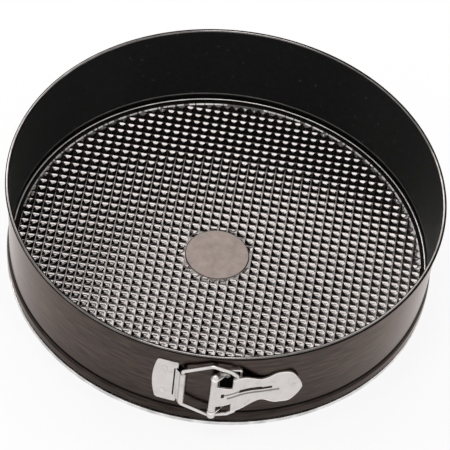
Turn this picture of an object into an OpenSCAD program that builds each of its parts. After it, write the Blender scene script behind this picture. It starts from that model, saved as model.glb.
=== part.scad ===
// Springform cake pan: a split steel band with a rolled rim, a removable base plate
// and an over-centre clasp. Millimetres, +Z up, origin on the pan's axis at table height.
// The clasp is at the front (-Y) and the band's two halves part at the plane x = 0.

/* [Pan] */
// Inside diameter at the rim
pan_d = 259; // [240:1:280]
// Height over the rolled rim
pan_h = 66; // [62:1:80]
// Thickness of the band's steel
band_t = 0.6; // [0.5:0.05:0.8]
// How far the wall draws in from the rim down to the base groove
wall_draw = 2.4; // [1:0.1:3.5]
// Diameter of the rolled rim
rim_roll_d = 2.5; // [2:0.1:3.2]
// Gap between the two halves of the band
parting_gap = 0.2; // [0.1:0.05:0.4]

/* [Base groove] */
// Height of the groove's upper lip
groove_top = 12; // [11:0.5:14]
// How far the groove stands out of the wall
groove_depth = 1.1; // [0.8:0.1:1.6]
// Height of the groove's slanted upper side
groove_slope_h = 2; // [1.5:0.1:2.5]
// Height of the ledge that carries the base plate
ledge_h = 4.8; // [4.6:0.1:5.2]
// Width of the ledge, measured in from the groove's wall
ledge_w = 3.4; // [2.8:0.1:4]
// Width of the hem under the ledge
hem_w = 2.2; // [1.8:0.1:2.6]
// Height of the hem
hem_h = 3; // [2.4:0.1:3.2]

/* [Base plate] */
// Thickness of the base plate's steel
plate_t = 0.8; // [0.6:0.1:1]
// Diameter of the plate's rolled edge
plate_roll_d = 2.6; // [2.2:0.1:3]
// Radial gap between the plate's edge and the wall
plate_side_gap = 0.8; // [0.5:0.1:1.2]
// Gap between the plate's edge and the ledge
plate_seat_gap = 0.1; // [0.05:0.05:0.3]

/* [Band overlap] */
// Length of the tongue that the left half tucks behind the right half
tongue_l = 11; // [8:0.5:12]
// Length over which the tongue is joined to the left half
tongue_root_l = 8; // [5:0.5:12]
// Height of the tongue's lower edge
tongue_z0 = 22; // [20:0.5:26]
// Distance from the tongue's upper edge to the rim
tongue_rim_gap = 6; // [4:0.5:10]
// Thickness of the tongue
tongue_t = 0.5; // [0.4:0.05:0.6]
// Gap between the tongue and the wall it lies behind
tongue_gap = 0.3; // [0.2:0.05:0.4]

/* [Clasp] */
// Height of the clasp's middle
clasp_z = 36; // [34:0.5:38]
// Distance from the band to the plane of the tension bail
bail_standoff = 3.2; // [3:0.1:3.8]
// How far the lever's pin lies outside that plane
over_centre = 2.8; // [2.4:0.1:3]
// Distance of the lever's pin from the parting plane
pin_x = 6.7; // [6:0.1:8]
// Distance of the catch knuckle from the parting plane
catch_x = 12; // [10:0.5:14]
// Distance from the lever's pin to the bail's far end
crank_l = 12.8; // [12.4:0.1:13.2]
// Thickness of the clasp's sheet steel
sheet_t = 0.8; // [0.6:0.05:0.9]
// Gap under the plates that are riveted to the band
seat_gap = 0.05; // [0.02:0.01:0.1]
// Running clearance round a wire or pin, on the radius
run_gap = 0.05; // [0.02:0.01:0.1]

/* [Catch plate] */
// Width of the catch plate
catch_w = 14.7; // [13:0.1:16]
// Height of the catch plate
catch_h = 37; // [34:0.5:40]
// How far the plate's outer edge bows out
catch_bow = 2.5; // [1.5:0.1:3.5]
// Distance from the catch plate's inner edge to the knuckle's axis
catch_reach = 3; // [2.6:0.1:3.6]
// Height of the knuckle
knuckle_h = 25.4; // [22:0.2:27]

/* [Tension bail] */
// Diameter of the bail's wire
bail_wire_d = 2.4; // [2:0.1:2.6]
// Radius of the bail's bends, to the middle of the wire
bail_bend_r = 2; // [1.6:0.1:2.2]
// Half width of the bail at the catch knuckle
bail_catch_half = 14.5; // [14.2:0.1:16]
// Half width of the bail at its widest
bail_wide_half = 22; // [20:0.5:24]
// Distance from the knuckle to the bail's widest bend
bail_wide_at = 16.8; // [14:0.2:19]
// Half width of the bail at its last bend
bail_neck_half = 19; // [19:0.1:19.8]
// Distance from the bail's last bend to its end
bail_neck_l = 4; // [3.5:0.1:4.2]
// Half width of the bail at its end
bail_end_half = 15.6; // [15.4:0.1:16]
// Gap between the bail's hooked ends and the lever's flanges
bail_end_gap = 0.3; // [0.2:0.05:0.5]

/* [Clamp lever] */
// Thickness of the lever's sheet steel
lever_t = 1; // [0.8:0.05:1.1]
// Length of the lever's rolled root
root_h = 28.4; // [26:0.2:29]
// Length of the neck, from the pin
neck_l = 9; // [8:0.1:10]
// Slope of the neck, towards the pan
neck_slope = 4; // [2:0.5:6]
// Half width of the neck
neck_half = 9.3; // [8:0.1:10]
// Length of the shank, measured along it
shank_l = 21.6; // [21:0.1:22]
// Slope of the shank
shank_slope = 27; // [26:0.5:28]
// Half width across the shoulders
shoulder_half = 13.4; // [12.4:0.1:13.6]
// Half width at the waist
waist_half = 8.8; // [8:0.1:9.8]
// Distance of the shoulders from the pin
shoulder_at = 10.6; // [10.2:0.1:11]
// Length of the thumb tab's flat, measured along it
tab_l = 12; // [11:0.1:13]
// Slope of the thumb tab
tab_slope = 19; // [17:0.5:20]
// Length of the lifted tip, measured along it
tip_l = 11.2; // [10:0.1:12]
// Slope of the lifted tip
tip_slope = 12; // [9:0.5:14]
// Radius of the thumb tab's outline
tab_r = 13.6; // [12.4:0.1:14]
// Length of the pressed stiffening groove
rib_l = 31; // [26:0.5:34]
// Width of the stiffening groove
rib_w = 2.6; // [2:0.1:3.2]
// Depth of the stiffening groove
rib_depth = 0.6; // [0.4:0.05:0.7]
// Thickness of the sheet down the groove's sides
rib_wall = 0.5; // [0.3:0.05:0.8]
// Radius of the lever's flange round the bail's end
flange_r = 2.3; // [2.1:0.1:2.5]

/* [Lever bracket] */
// Width of the bracket's plate
bracket_w = 12.5; // [11:0.1:14]
// Height of the bracket's plate
bracket_h = 36; // [33:0.5:39]
// Distance from the lever's pin to the bracket's plate
bracket_from_pin = 2.8; // [2.4:0.1:3.2]
// Thickness of the bracket's ears
ear_t = 1; // [0.8:0.05:1.1]
// Radius of the ears round the pin
ear_r = 2.6; // [2.4:0.05:2.7]
// Gap between the ears and the lever's root
ear_gap = 0.2; // [0.15:0.05:0.3]
// Diameter of the lever's pin
pin_d = 2.4; // [2.2:0.1:2.6]
// Radius of the pin's heads
pin_head_r = 2.1; // [1.8:0.1:2.3]
// Height of the pin's heads
pin_head_h = 2.4; // [1.6:0.1:2.6]
// Gap between the pin's heads and the ears
pin_head_gap = 0.05; // [0.02:0.01:0.1]

/* [Rivets] */
// Diameter of a rivet's shank
rivet_d = 2.2; // [1.8:0.1:2.6]
// Diameter of a rivet's outer head
rivet_head_d = 3.8; // [3.2:0.1:4.2]
// Height of a rivet's outer head
rivet_head_h = 0.6; // [0.4:0.1:0.8]
// Height of a rivet's flattened inner end
rivet_tail_h = 0.4; // [0.3:0.05:0.5]
// Distance of the catch rivets from the clasp's middle
catch_rivet_z = 10.8; // [9:0.1:14]
// Gap between the bracket rivets' heads and the ears
rivet_ear_gap = 0.1; // [0.1:0.1:3]
// Distance of a rivet from the far edge of the catch plate
catch_rivet_edge = 7; // [5:0.1:9]
// Distance of a rivet from the near edge of the bracket's plate
bracket_rivet_edge = 4; // [3:0.1:4.6]

/* [Hidden] */
$fn = 48;
ring_fn = 180;
far = 400;

wall_top = pan_h - rim_roll_d / 2;
rim_r = pan_d / 2;
lip_r = rim_r - wall_draw;
groove_r = lip_r + groove_depth;
ledge_r = groove_r - ledge_w;
wall_lean = atan(wall_draw / (wall_top - groove_top));

// Inner and outer radius of the wall at a height
function wall_r(z) = rim_r - wall_draw * (wall_top - z) / (wall_top - groove_top);
function band_r(z) = wall_r(z) + band_t;

bail_y = -(band_r(clasp_z) + bail_standoff);
catch_at = [-catch_x, bail_y];
pin_at = [pin_x, bail_y - over_centre];
bail_end_at = [pin_x + crank_l, bail_y];
bail_reach = bail_end_at[0] - catch_at[0];
wire_r = bail_wire_d / 2;
bend_swell = 0.03;
bend_lap = 0.25;
knuckle_bore_r = wire_r + run_gap;
knuckle_r = knuckle_bore_r + sheet_t;
pin_bore_r = pin_d / 2 + run_gap;
root_r = pin_bore_r + lever_t;
ear_z = root_h / 2 + ear_gap;
plate_edge_r = lip_r - plate_side_gap;
plate_roll_z = ledge_h + plate_seat_gap + plate_roll_d / 2;
catch_edge_x = -(catch_x + catch_reach);
catch_rivet_x = catch_edge_x - catch_w + catch_rivet_edge;
bracket_x0 = pin_x + bracket_from_pin;
bracket_rivet_x = bracket_x0 + bracket_rivet_edge;
bracket_rivet_z = ear_z - rivet_head_d / 2 - rivet_ear_gap;
rivet_stack = band_t + seat_gap + sheet_t;
lever_path = turtle([neck_l, shank_l, tab_l, tip_l],
                    [neck_slope, shank_slope, tab_slope, tip_slope],
                    pin_at - [0, root_r - lever_t / 2]);
tab_x = lever_path[4][0] - tab_r;
waist_x = tab_x - sqrt(tab_r ^ 2 - waist_half ^ 2);

// Corner points of a path of given stretches and slopes, each slope turning towards the pan
function turtle(lengths, slopes, from, i = 0) =
    i == len(lengths) ? [from]
    : concat([from], turtle(lengths, slopes,
                            from + lengths[i] * [cos(slopes[i]), sin(slopes[i])], i + 1));

// Unit normal of the stretch from p to q, on its right hand side
function right_normal(p, q) = [q[1] - p[1], p[0] - q[0]] / norm(q - p);

// A corner of a path moved sideways so that both its stretches shift by the same distance
function shifted(path, i, d) =
    let (n0 = right_normal(path[max(i - 1, 0)], path[max(i, 1)]),
         last = len(path) - 1,
         n1 = right_normal(path[min(i, last - 1)], path[min(i + 1, last)]))
    path[i] + d * (n0 + n1) / (1 + n0 * n1);

// A flat strip of even thickness along a path
module strip(path, outer, inner) {
    polygon(concat([for (i = [0:len(path) - 1]) shifted(path, i, outer)],
                   [for (i = [len(path) - 1:-1:0]) shifted(path, i, -inner)]));
}

// A front outline, drawn in X and Z, run through the clasp from front to back
module front_outline() {
    translate([0, -rim_r / 2, 0])
        rotate([90, 0, 0])
            linear_extrude(far)
                children();
}

// A plan shape run from one height to another
module plan_block(z0, z1) {
    translate([0, 0, z0])
        linear_extrude(z1 - z0)
            children();
}

// The space inside the band's outer face
module band_core(grow = 0) {
    rotate_extrude($fn = ring_fn)
        polygon([[0, groove_top],
                 [band_r(groove_top) + grow, groove_top],
                 [band_r(wall_top) + grow, wall_top],
                 [0, wall_top]]);
}

// A thin skin that lies on the band's outer face
module band_skin(thickness) {
    difference() {
        band_core(seat_gap + thickness);
        band_core(seat_gap);
    }
}

// Puts a shape on the band's outer face, its own Z axis square to the wall
module on_band(x, z) {
    r = band_r(z);
    rotate([0, 0, asin(x / r)])
        translate([0, -r, z])
            rotate([90 + wall_lean, 0, 0])
                children();
}

// Section of the band: wall, rolled rim, base groove, ledge and hem
module band_section() {
    polygon([[rim_r, wall_top],
             [lip_r, groove_top],
             [groove_r, groove_top - groove_slope_h],
             [groove_r, ledge_h],
             [ledge_r, ledge_h],
             [ledge_r, 0],
             [ledge_r + hem_w * 0.75, 0],
             [ledge_r + hem_w, hem_h * 0.4],
             [ledge_r + hem_w * 0.9, hem_h * 0.8],
             [ledge_r + band_t, hem_h],
             [ledge_r + band_t, ledge_h - band_t],
             [groove_r, ledge_h - band_t],
             [groove_r + band_t, ledge_h + band_t],
             [groove_r + band_t, groove_top - groove_slope_h],
             [lip_r + band_t, groove_top],
             [rim_r + band_t, wall_top]]);
    translate([rim_r + rim_roll_d / 2, wall_top])
        circle(d = rim_roll_d);
}

// One half of the band: side is 1 for the right half and -1 for the left half
module band_half(side) {
    intersection() {
        rotate_extrude($fn = ring_fn)
            band_section();
        translate([side * (far + parting_gap) / 2, 0, 0])
            cube([far, far, far], center = true);
    }
}

// Holes through the wall for a pair of rivets
module rivet_holes(x, spread) {
    for (z = [clasp_z - spread, clasp_z + spread])
        on_band(x, z)
            cylinder(r = rivet_d / 2 + run_gap, h = rivet_stack * 4, center = true);
}

// A pair of rivets: shank, domed outer head and flattened inner end
module rivet_pair(x, spread) {
    stack = seat_gap + sheet_t;
    for (z = [clasp_z - spread, clasp_z + spread])
        on_band(x, z) {
            translate([0, 0, -band_t - rivet_tail_h])
                cylinder(d = rivet_d, h = band_t + stack + rivet_tail_h + run_gap);
            translate([0, 0, stack + run_gap])
                cylinder(d1 = rivet_head_d, d2 = rivet_head_d * 0.6, h = rivet_head_h);
            translate([0, 0, -band_t - run_gap - rivet_tail_h])
                cylinder(d = rivet_head_d * 0.8, h = rivet_tail_h);
        }
}

// Plain wall zone of the tongue, between two depths behind the wall and two X limits
module tongue_part(shallow, deep, x0, x1) {
    z1 = pan_h - tongue_rim_gap;
    intersection() {
        rotate_extrude($fn = ring_fn)
            polygon([[wall_r(tongue_z0) - deep, tongue_z0],
                     [wall_r(tongue_z0) - shallow, tongue_z0],
                     [wall_r(z1) - shallow, z1],
                     [wall_r(z1) - deep, z1]]);
        translate([x0, -far, 0])
            cube([x1 - x0, far, far]);
    }
}

module ring_right_half() {
    color("dimgray")
        difference() {
            band_half(1);
            rivet_holes(bracket_rivet_x, bracket_rivet_z);
        }
}

module ring_left_half() {
    color("dimgray") {
        difference() {
            band_half(-1);
            rivet_holes(catch_rivet_x, catch_rivet_z);
        }
        tongue_part(tongue_gap, tongue_gap + tongue_t, -tongue_root_l, tongue_l);
        tongue_part(-band_t / 2, tongue_gap + tongue_t / 2, -tongue_root_l, -parting_gap / 2);
    }
}

module base_plate() {
    color("gray")
        rotate_extrude($fn = ring_fn) {
            translate([0, plate_roll_z - plate_t / 2])
                square([plate_edge_r - plate_roll_d / 2, plate_t]);
            translate([plate_edge_r - plate_roll_d / 2, plate_roll_z])
                circle(d = plate_roll_d);
        }
}

module catch_plate() {
    bow_r = ((catch_h / 2) ^ 2 + catch_bow ^ 2) / (2 * catch_bow);
    web_from = [catch_edge_x - sheet_t, -band_r(clasp_z) - seat_gap];
    web_side = right_normal(web_from, catch_at) * (knuckle_r - sheet_t / 2);
    color("silver")
        difference() {
            union() {
                intersection() {
                    band_skin(sheet_t);
                    front_outline()
                        intersection() {
                            translate([catch_edge_x - catch_w, clasp_z - catch_h / 2])
                                square([catch_w, catch_h]);
                            translate([catch_edge_x - catch_w + bow_r, clasp_z])
                                circle(r = bow_r, $fn = ring_fn);
                        }
                }
                difference() {
                    plan_block(clasp_z - knuckle_h / 2, clasp_z + knuckle_h / 2) {
                        translate(catch_at)
                            circle(r = knuckle_r);
                        strip([web_from, catch_at + web_side], sheet_t / 2, sheet_t / 2);
                    }
                    band_core(seat_gap);
                }
            }
            translate([catch_at[0], catch_at[1], clasp_z])
                cylinder(r = knuckle_bore_r, h = far, center = true);
            rivet_holes(catch_rivet_x, catch_rivet_z);
        }
}

module catch_plate_rivets() {
    color("lightgray")
        rivet_pair(catch_rivet_x, catch_rivet_z);
}

// Heading of the stretch from p to q
function heading(p, q) = atan2(q[1] - p[1], q[0] - p[0]);

// Clockwise turn of a path at one of its corners
function turn_at(path, i) =
    (heading(path[i - 1], path[i]) - heading(path[i], path[i + 1]) + 360) % 360;

// Length that the bend at a corner takes off the stretches on its two sides
function bend_cut(path, i) = bail_bend_r * tan(turn_at(path, i) / 2);

// Distance from a corner to the straight wire, which reaches a little way into the bend
function straight_cut(path, i) =
    i == 0 || i == len(path) - 1 ? 0 : bend_cut(path, i) - bend_lap;

// Round wire along a path whose corners all turn clockwise
module bent_wire(path) {
    for (i = [0:len(path) - 2]) {
        cut = straight_cut(path, i);
        run = norm(path[i + 1] - path[i]) - cut - straight_cut(path, i + 1);
        translate(path[i])
            rotate([0, 0, heading(path[i], path[i + 1])])
                translate([cut, 0, 0])
                    rotate([0, 90, 0])
                        cylinder(r = wire_r - bend_swell, h = run);
    }
    for (i = [1:len(path) - 2]) {
        turn = turn_at(path, i);
        translate(path[i])
            rotate([0, 0, heading(path[i - 1], path[i])])
                translate([-bend_cut(path, i), -bail_bend_r, 0])
                    rotate_extrude(angle = turn, start = 90 - turn)
                        translate([bail_bend_r, 0])
                            circle(r = wire_r);
    }
}

module tension_bail() {
    upper = [[0, bail_catch_half],
             [bail_wide_at, bail_wide_half],
             [bail_reach - bail_neck_l, bail_neck_half],
             [bail_reach, bail_end_half],
             [bail_reach, shoulder_half + bail_end_gap]];
    lower = [for (i = [len(upper) - 1:-1:0]) [upper[i][0], -upper[i][1]]];
    color("silver")
        translate([catch_at[0], catch_at[1], clasp_z])
            rotate([90, 0, 0])
                bent_wire(concat(lower, upper));
}

// Front outline of the lever, from its neck to the round thumb tab
module lever_outline() {
    translate([0, clasp_z]) {
        translate([pin_x, -neck_half])
            square([waist_x - pin_x, neck_half * 2]);
        polygon([[pin_x + shoulder_at, shoulder_half],
                 [pin_x + shoulder_at + bail_wire_d * 2, shoulder_half],
                 [waist_x, waist_half],
                 [waist_x, -waist_half],
                 [pin_x + shoulder_at + bail_wire_d * 2, -shoulder_half],
                 [pin_x + shoulder_at, -shoulder_half]]);
        translate([tab_x, 0])
            circle(r = tab_r);
    }
}

// Front outline of the stiffening groove, grown by the thickness of its sides
module rib_outline(grow) {
    translate([pin_x + neck_l / 2 - grow, clasp_z - rib_w / 2 - grow])
        square([rib_l + grow * 2, rib_w + grow * 2]);
}

// The lever's bent sheet inside a front outline, pressed in by a depth
module lever_sheet(sink) {
    intersection() {
        plan_block(clasp_z - far / 2, clasp_z + far / 2)
            strip(lever_path, lever_t / 2 - sink, lever_t / 2 + sink);
        front_outline()
            children();
    }
}

// The two flanges at the shoulders that take the bail's ends
module lever_flanges() {
    sheet_y = lever_path[1][1] + (bail_end_at[0] - lever_path[1][0]) * tan(shank_slope);
    for (z = [clasp_z - shoulder_half, clasp_z + shoulder_half - lever_t])
        plan_block(z, z + lever_t)
            difference() {
                union() {
                    translate(bail_end_at)
                        circle(r = flange_r);
                    polygon([bail_end_at + [-flange_r, 0],
                             bail_end_at + [flange_r, 0],
                             [bail_end_at[0] + flange_r, sheet_y + flange_r * tan(shank_slope)],
                             [bail_end_at[0] - flange_r, sheet_y - flange_r * tan(shank_slope)]]);
                }
                translate(bail_end_at)
                    circle(r = wire_r + run_gap);
            }
}

module clamp_lever() {
    color("gainsboro")
        difference() {
            union() {
                lever_sheet(0)
                    difference() {
                        lever_outline();
                        rib_outline(0);
                    }
                lever_sheet(rib_depth)
                    rib_outline(rib_wall);
                lever_flanges();
                translate([pin_at[0], pin_at[1], clasp_z])
                    cylinder(r = root_r, h = root_h, center = true);
            }
            translate([pin_at[0], pin_at[1], clasp_z])
                cylinder(r = pin_bore_r, h = far, center = true);
        }
}

module lever_pivot_pin() {
    reach = ear_z + ear_t + pin_head_gap;
    color("silver")
        translate([pin_at[0], pin_at[1], clasp_z]) {
            cylinder(d = pin_d, h = 2 * reach + pin_head_h, center = true);
            for (side = [0, 1])
                mirror([0, 0, side])
                    translate([0, 0, reach])
                        cylinder(r1 = pin_head_r, r2 = pin_head_r * 0.6, h = pin_head_h);
        }
}

// Plan of an ear: round the pin, widening to the bracket's plate
module ear_plan() {
    translate(pin_at)
        circle(r = ear_r);
    polygon([pin_at + [-ear_r, 0],
             pin_at + [ear_r * 0.6, -ear_r * 0.8],
             [bracket_x0 + ear_r * 2, -band_r(clasp_z)],
             [bracket_x0 + ear_r * 2, -lip_r / 2],
             [bracket_x0, -lip_r / 2],
             pin_at + [-ear_r * 0.6, ear_r * 0.8]]);
}

module lever_bracket() {
    color("silver")
        difference() {
            union() {
                intersection() {
                    band_skin(sheet_t);
                    front_outline()
                        translate([bracket_x0, clasp_z - bracket_h / 2])
                            square([bracket_w, bracket_h]);
                }
                for (z = [clasp_z + ear_z, clasp_z - ear_z - ear_t])
                    difference() {
                        plan_block(z, z + ear_t)
                            ear_plan();
                        band_core(seat_gap);
                    }
            }
            translate([pin_at[0], pin_at[1], clasp_z])
                cylinder(r = pin_bore_r, h = far, center = true);
            rivet_holes(bracket_rivet_x, bracket_rivet_z);
        }
}

module lever_bracket_rivets() {
    color("lightgray")
        rivet_pair(bracket_rivet_x, bracket_rivet_z);
}

ring_right_half();
ring_left_half();
base_plate();
catch_plate();
catch_plate_rivets();
tension_bail();
clamp_lever();
lever_pivot_pin();
lever_bracket();
lever_bracket_rivets();
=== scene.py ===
"""Looks of a springform cake pan: coated band, waffle base plate and bright steel clasp."""

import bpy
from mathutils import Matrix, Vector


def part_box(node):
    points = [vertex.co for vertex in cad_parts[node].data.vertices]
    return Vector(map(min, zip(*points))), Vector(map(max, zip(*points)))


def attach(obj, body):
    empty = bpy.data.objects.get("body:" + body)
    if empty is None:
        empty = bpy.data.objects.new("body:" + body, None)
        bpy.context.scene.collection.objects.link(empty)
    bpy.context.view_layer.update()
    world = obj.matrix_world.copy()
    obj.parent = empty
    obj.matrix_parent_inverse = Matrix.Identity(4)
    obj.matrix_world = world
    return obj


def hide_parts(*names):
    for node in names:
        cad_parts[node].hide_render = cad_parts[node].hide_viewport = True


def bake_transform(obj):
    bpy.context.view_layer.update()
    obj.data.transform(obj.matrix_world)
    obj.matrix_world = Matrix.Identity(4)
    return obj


bl_info = {
    "name": "Springform Cake Pan",
    "version": (1, 0, 0),
    "blender": (4, 5, 0),
    "location": "3D View > Sidebar > Cake Pan",
    "description": "Builds the band, base plate and clasp of a springform cake pan on its packed frame",
    "category": "Add Mesh",
}

import math

import bmesh
import bpy
import numpy as np
from bpy.props import FloatProperty, FloatVectorProperty, IntProperty, PointerProperty
from mathutils import Matrix, Vector

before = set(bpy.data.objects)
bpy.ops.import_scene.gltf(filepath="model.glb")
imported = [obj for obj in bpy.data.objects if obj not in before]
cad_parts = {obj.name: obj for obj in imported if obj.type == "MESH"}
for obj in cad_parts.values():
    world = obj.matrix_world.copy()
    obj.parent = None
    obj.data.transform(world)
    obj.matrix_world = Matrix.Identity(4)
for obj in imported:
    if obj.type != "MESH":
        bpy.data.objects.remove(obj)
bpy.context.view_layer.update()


def length(name, description, default):
    """A size in metres that the panel shows."""
    return FloatProperty(name=name, description=description, default=default, unit="LENGTH", precision=5)


def angle(name, description, degrees):
    """An angle that the panel shows in degrees."""
    turn = math.radians(degrees)
    return FloatProperty(name=name, description=description, default=turn, subtype="ANGLE")


def share(name, description, default):
    """A number from 0 to 1."""
    return FloatProperty(
        name=name, description=description, default=default, min=0.0, max=1.0, subtype="FACTOR"
    )


def watts(name, description, default):
    """The power of a lamp in watts."""
    return FloatProperty(name=name, description=description, default=default, unit="POWER")


def point(name, description, default):
    """A point in metres, or the two sizes of a flat thing."""
    return FloatVectorProperty(
        name=name, description=description, default=default, size=len(default), subtype="TRANSLATION"
    )


def colour(name, description, default):
    """A linear colour that the panel shows as a swatch."""
    return FloatVectorProperty(
        name=name, description=description, default=default, min=0.0, max=1.0, size=3, subtype="COLOR"
    )


class PanBandSettings(bpy.types.PropertyGroup):
    """Sizes and colours of the split band."""

    rim_radius: length("Rim radius", "Inside radius at the rim", 0.1295)
    wall_top: length("Wall top", "Height of the rolled rim's middle", 0.06475)
    wall_draw: length("Wall draw", "How far the wall draws in down to the groove", 0.0024)
    thickness: length("Thickness", "Thickness of the band's steel", 0.0006)
    roll_radius: length("Roll radius", "Radius of the rolled rim", 0.00125)
    groove_top: length("Groove top", "Height of the groove's upper lip", 0.012)
    groove_depth: length("Groove depth", "How far the groove stands out", 0.0011)
    groove_slope: length("Groove slope", "Height of the groove's slanted side", 0.002)
    ledge_height: length("Ledge height", "Height of the ledge under the base plate", 0.0048)
    ledge_width: length("Ledge width", "Width of the ledge", 0.0034)
    hem_width: length("Hem width", "Width of the hem under the ledge", 0.0037)
    hem_height: length("Hem height", "Height of the hem", 0.003)
    parting_gap: length("Parting gap", "Gap between the band's ends at the clasp", 0.00001)
    tongue_length: length("Tongue length", "Length of the tongue behind the right half", 0.011)
    tongue_root: length("Tongue root", "Length of the tongue on the left half", 0.008)
    tongue_low: length("Tongue low edge", "Height of the tongue's lower edge", 0.022)
    tongue_high: length("Tongue high edge", "Height of the tongue's upper edge", 0.060)
    segments: IntProperty(
        name="Segments", description="Steps round each half of the band", default=176, min=24
    )
    outside: colour("Outside", "Colour of the bronze coat outside", (0.056, 0.043, 0.038))
    inside: colour("Inside", "Colour of the non-stick coat inside", (0.012, 0.0135, 0.013))
    # The rim's lighter strip is a painted highlight; it lies further out in front than at the back, and
    # the roll round it is painted shade.
    worn_to: angle("Worn to", "Angle round the rim where its rubbed strip starts, at the sides", 75.0)
    worn_width: angle("Worn width", "Width of the rubbed strip, as an angle round the rolled rim", 55.0)
    worn_shift: angle("Worn shift", "How far from the pan's back the strip lies furthest in", 20.0)
    worn_swing: angle("Worn swing", "How far the strip moves out in front and in at the back", 43.0)
    rim: colour("Rim", "Colour of the rubbed coat on the rolled rim", (0.19, 0.177, 0.169))
    # The hem's light colour is partly its bare steel and partly painted sheen for its bright reflection of
    # the floor.
    hem: colour("Hem", "Colour of the bare hem", (0.85, 0.83, 0.815))
    # The lip's light colour is a painted highlight along the groove's upper lip.
    lip: colour("Lip", "Colour of the worn lip over the groove", (0.16, 0.15, 0.145))
    # Painted shade: this dark colour lies on the rolled rim round its highlight, in the crease over the
    # groove, under the ledge and on the base plate's flat border.
    residue: colour("Residue", "Colour of the baked residue in the folds", (0.006, 0.005, 0.0045))


class PanBaseSettings(bpy.types.PropertyGroup):
    """Sizes and colours of the base plate."""

    floor_height: length("Floor height", "Height of the plate's upper face", 0.0066)
    thickness: length("Thickness", "Thickness of the plate's steel", 0.0008)
    edge_radius: length("Edge radius", "Radius over the plate's rolled edge", 0.1263)
    roll_radius: length("Roll radius", "Radius of the rolled edge", 0.0013)
    roll_height: length("Roll height", "Height of the rolled edge's middle", 0.0062)
    bead_radius: length("Bead radius", "Radius of the bead along the edge", 0.0006)
    bead_height: length("Bead height", "Height of the bead's middle", 0.0085)
    waffle_radius: length("Waffle radius", "Radius of the embossed field", 0.1226)
    disc_radius: length("Disc radius", "Radius of the smooth disc in the middle", 0.0197)
    disc_x: length("Disc X", "Place of the smooth disc across the plate", -0.0009)
    disc_y: length("Disc Y", "Place of the smooth disc along the plate", -0.0024)
    turn: angle("Turn", "Turn of the waffle about the plate's middle", -2.65)
    pitch: length("Pitch", "Distance from one embossed cell to the next", 0.0057)
    ridge: length("Ridge", "Width of the flat ridge between cells", 0.0003)
    cell_depth: length("Cell depth", "Depth of an embossed cell", 0.0011)
    valley: length("Valley", "How far a cell's lowest place lies behind its middle", 0.0006)
    soft_edge: share("Soft edge", "Share of a cell's half width that its softened edge takes", 0.04)
    pit_floor: share("Pit floor", "Share of a cell's half width that is flat at its bottom", 0.06)
    border_run: length("Border run", "Width of the slanted step round the embossed field", 0.0007)
    border_rise: length("Border rise", "Height of the step round the embossed field", 0.0006)
    disc_rise: length("Disc rise", "Height of the smooth disc over the ridges", 0.0005)
    coat: colour("Coat", "Colour of the grey coat", (0.100, 0.092, 0.088))
    disc: colour("Disc", "Colour of the coat on the smooth disc", (0.0995, 0.0817, 0.0736))
    # The bead's light colour is a painted highlight on its crest and on the dashes round the field.
    bead: colour("Bead", "Colour of the rubbed bead along the edge", (0.55, 0.525, 0.505))


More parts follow.
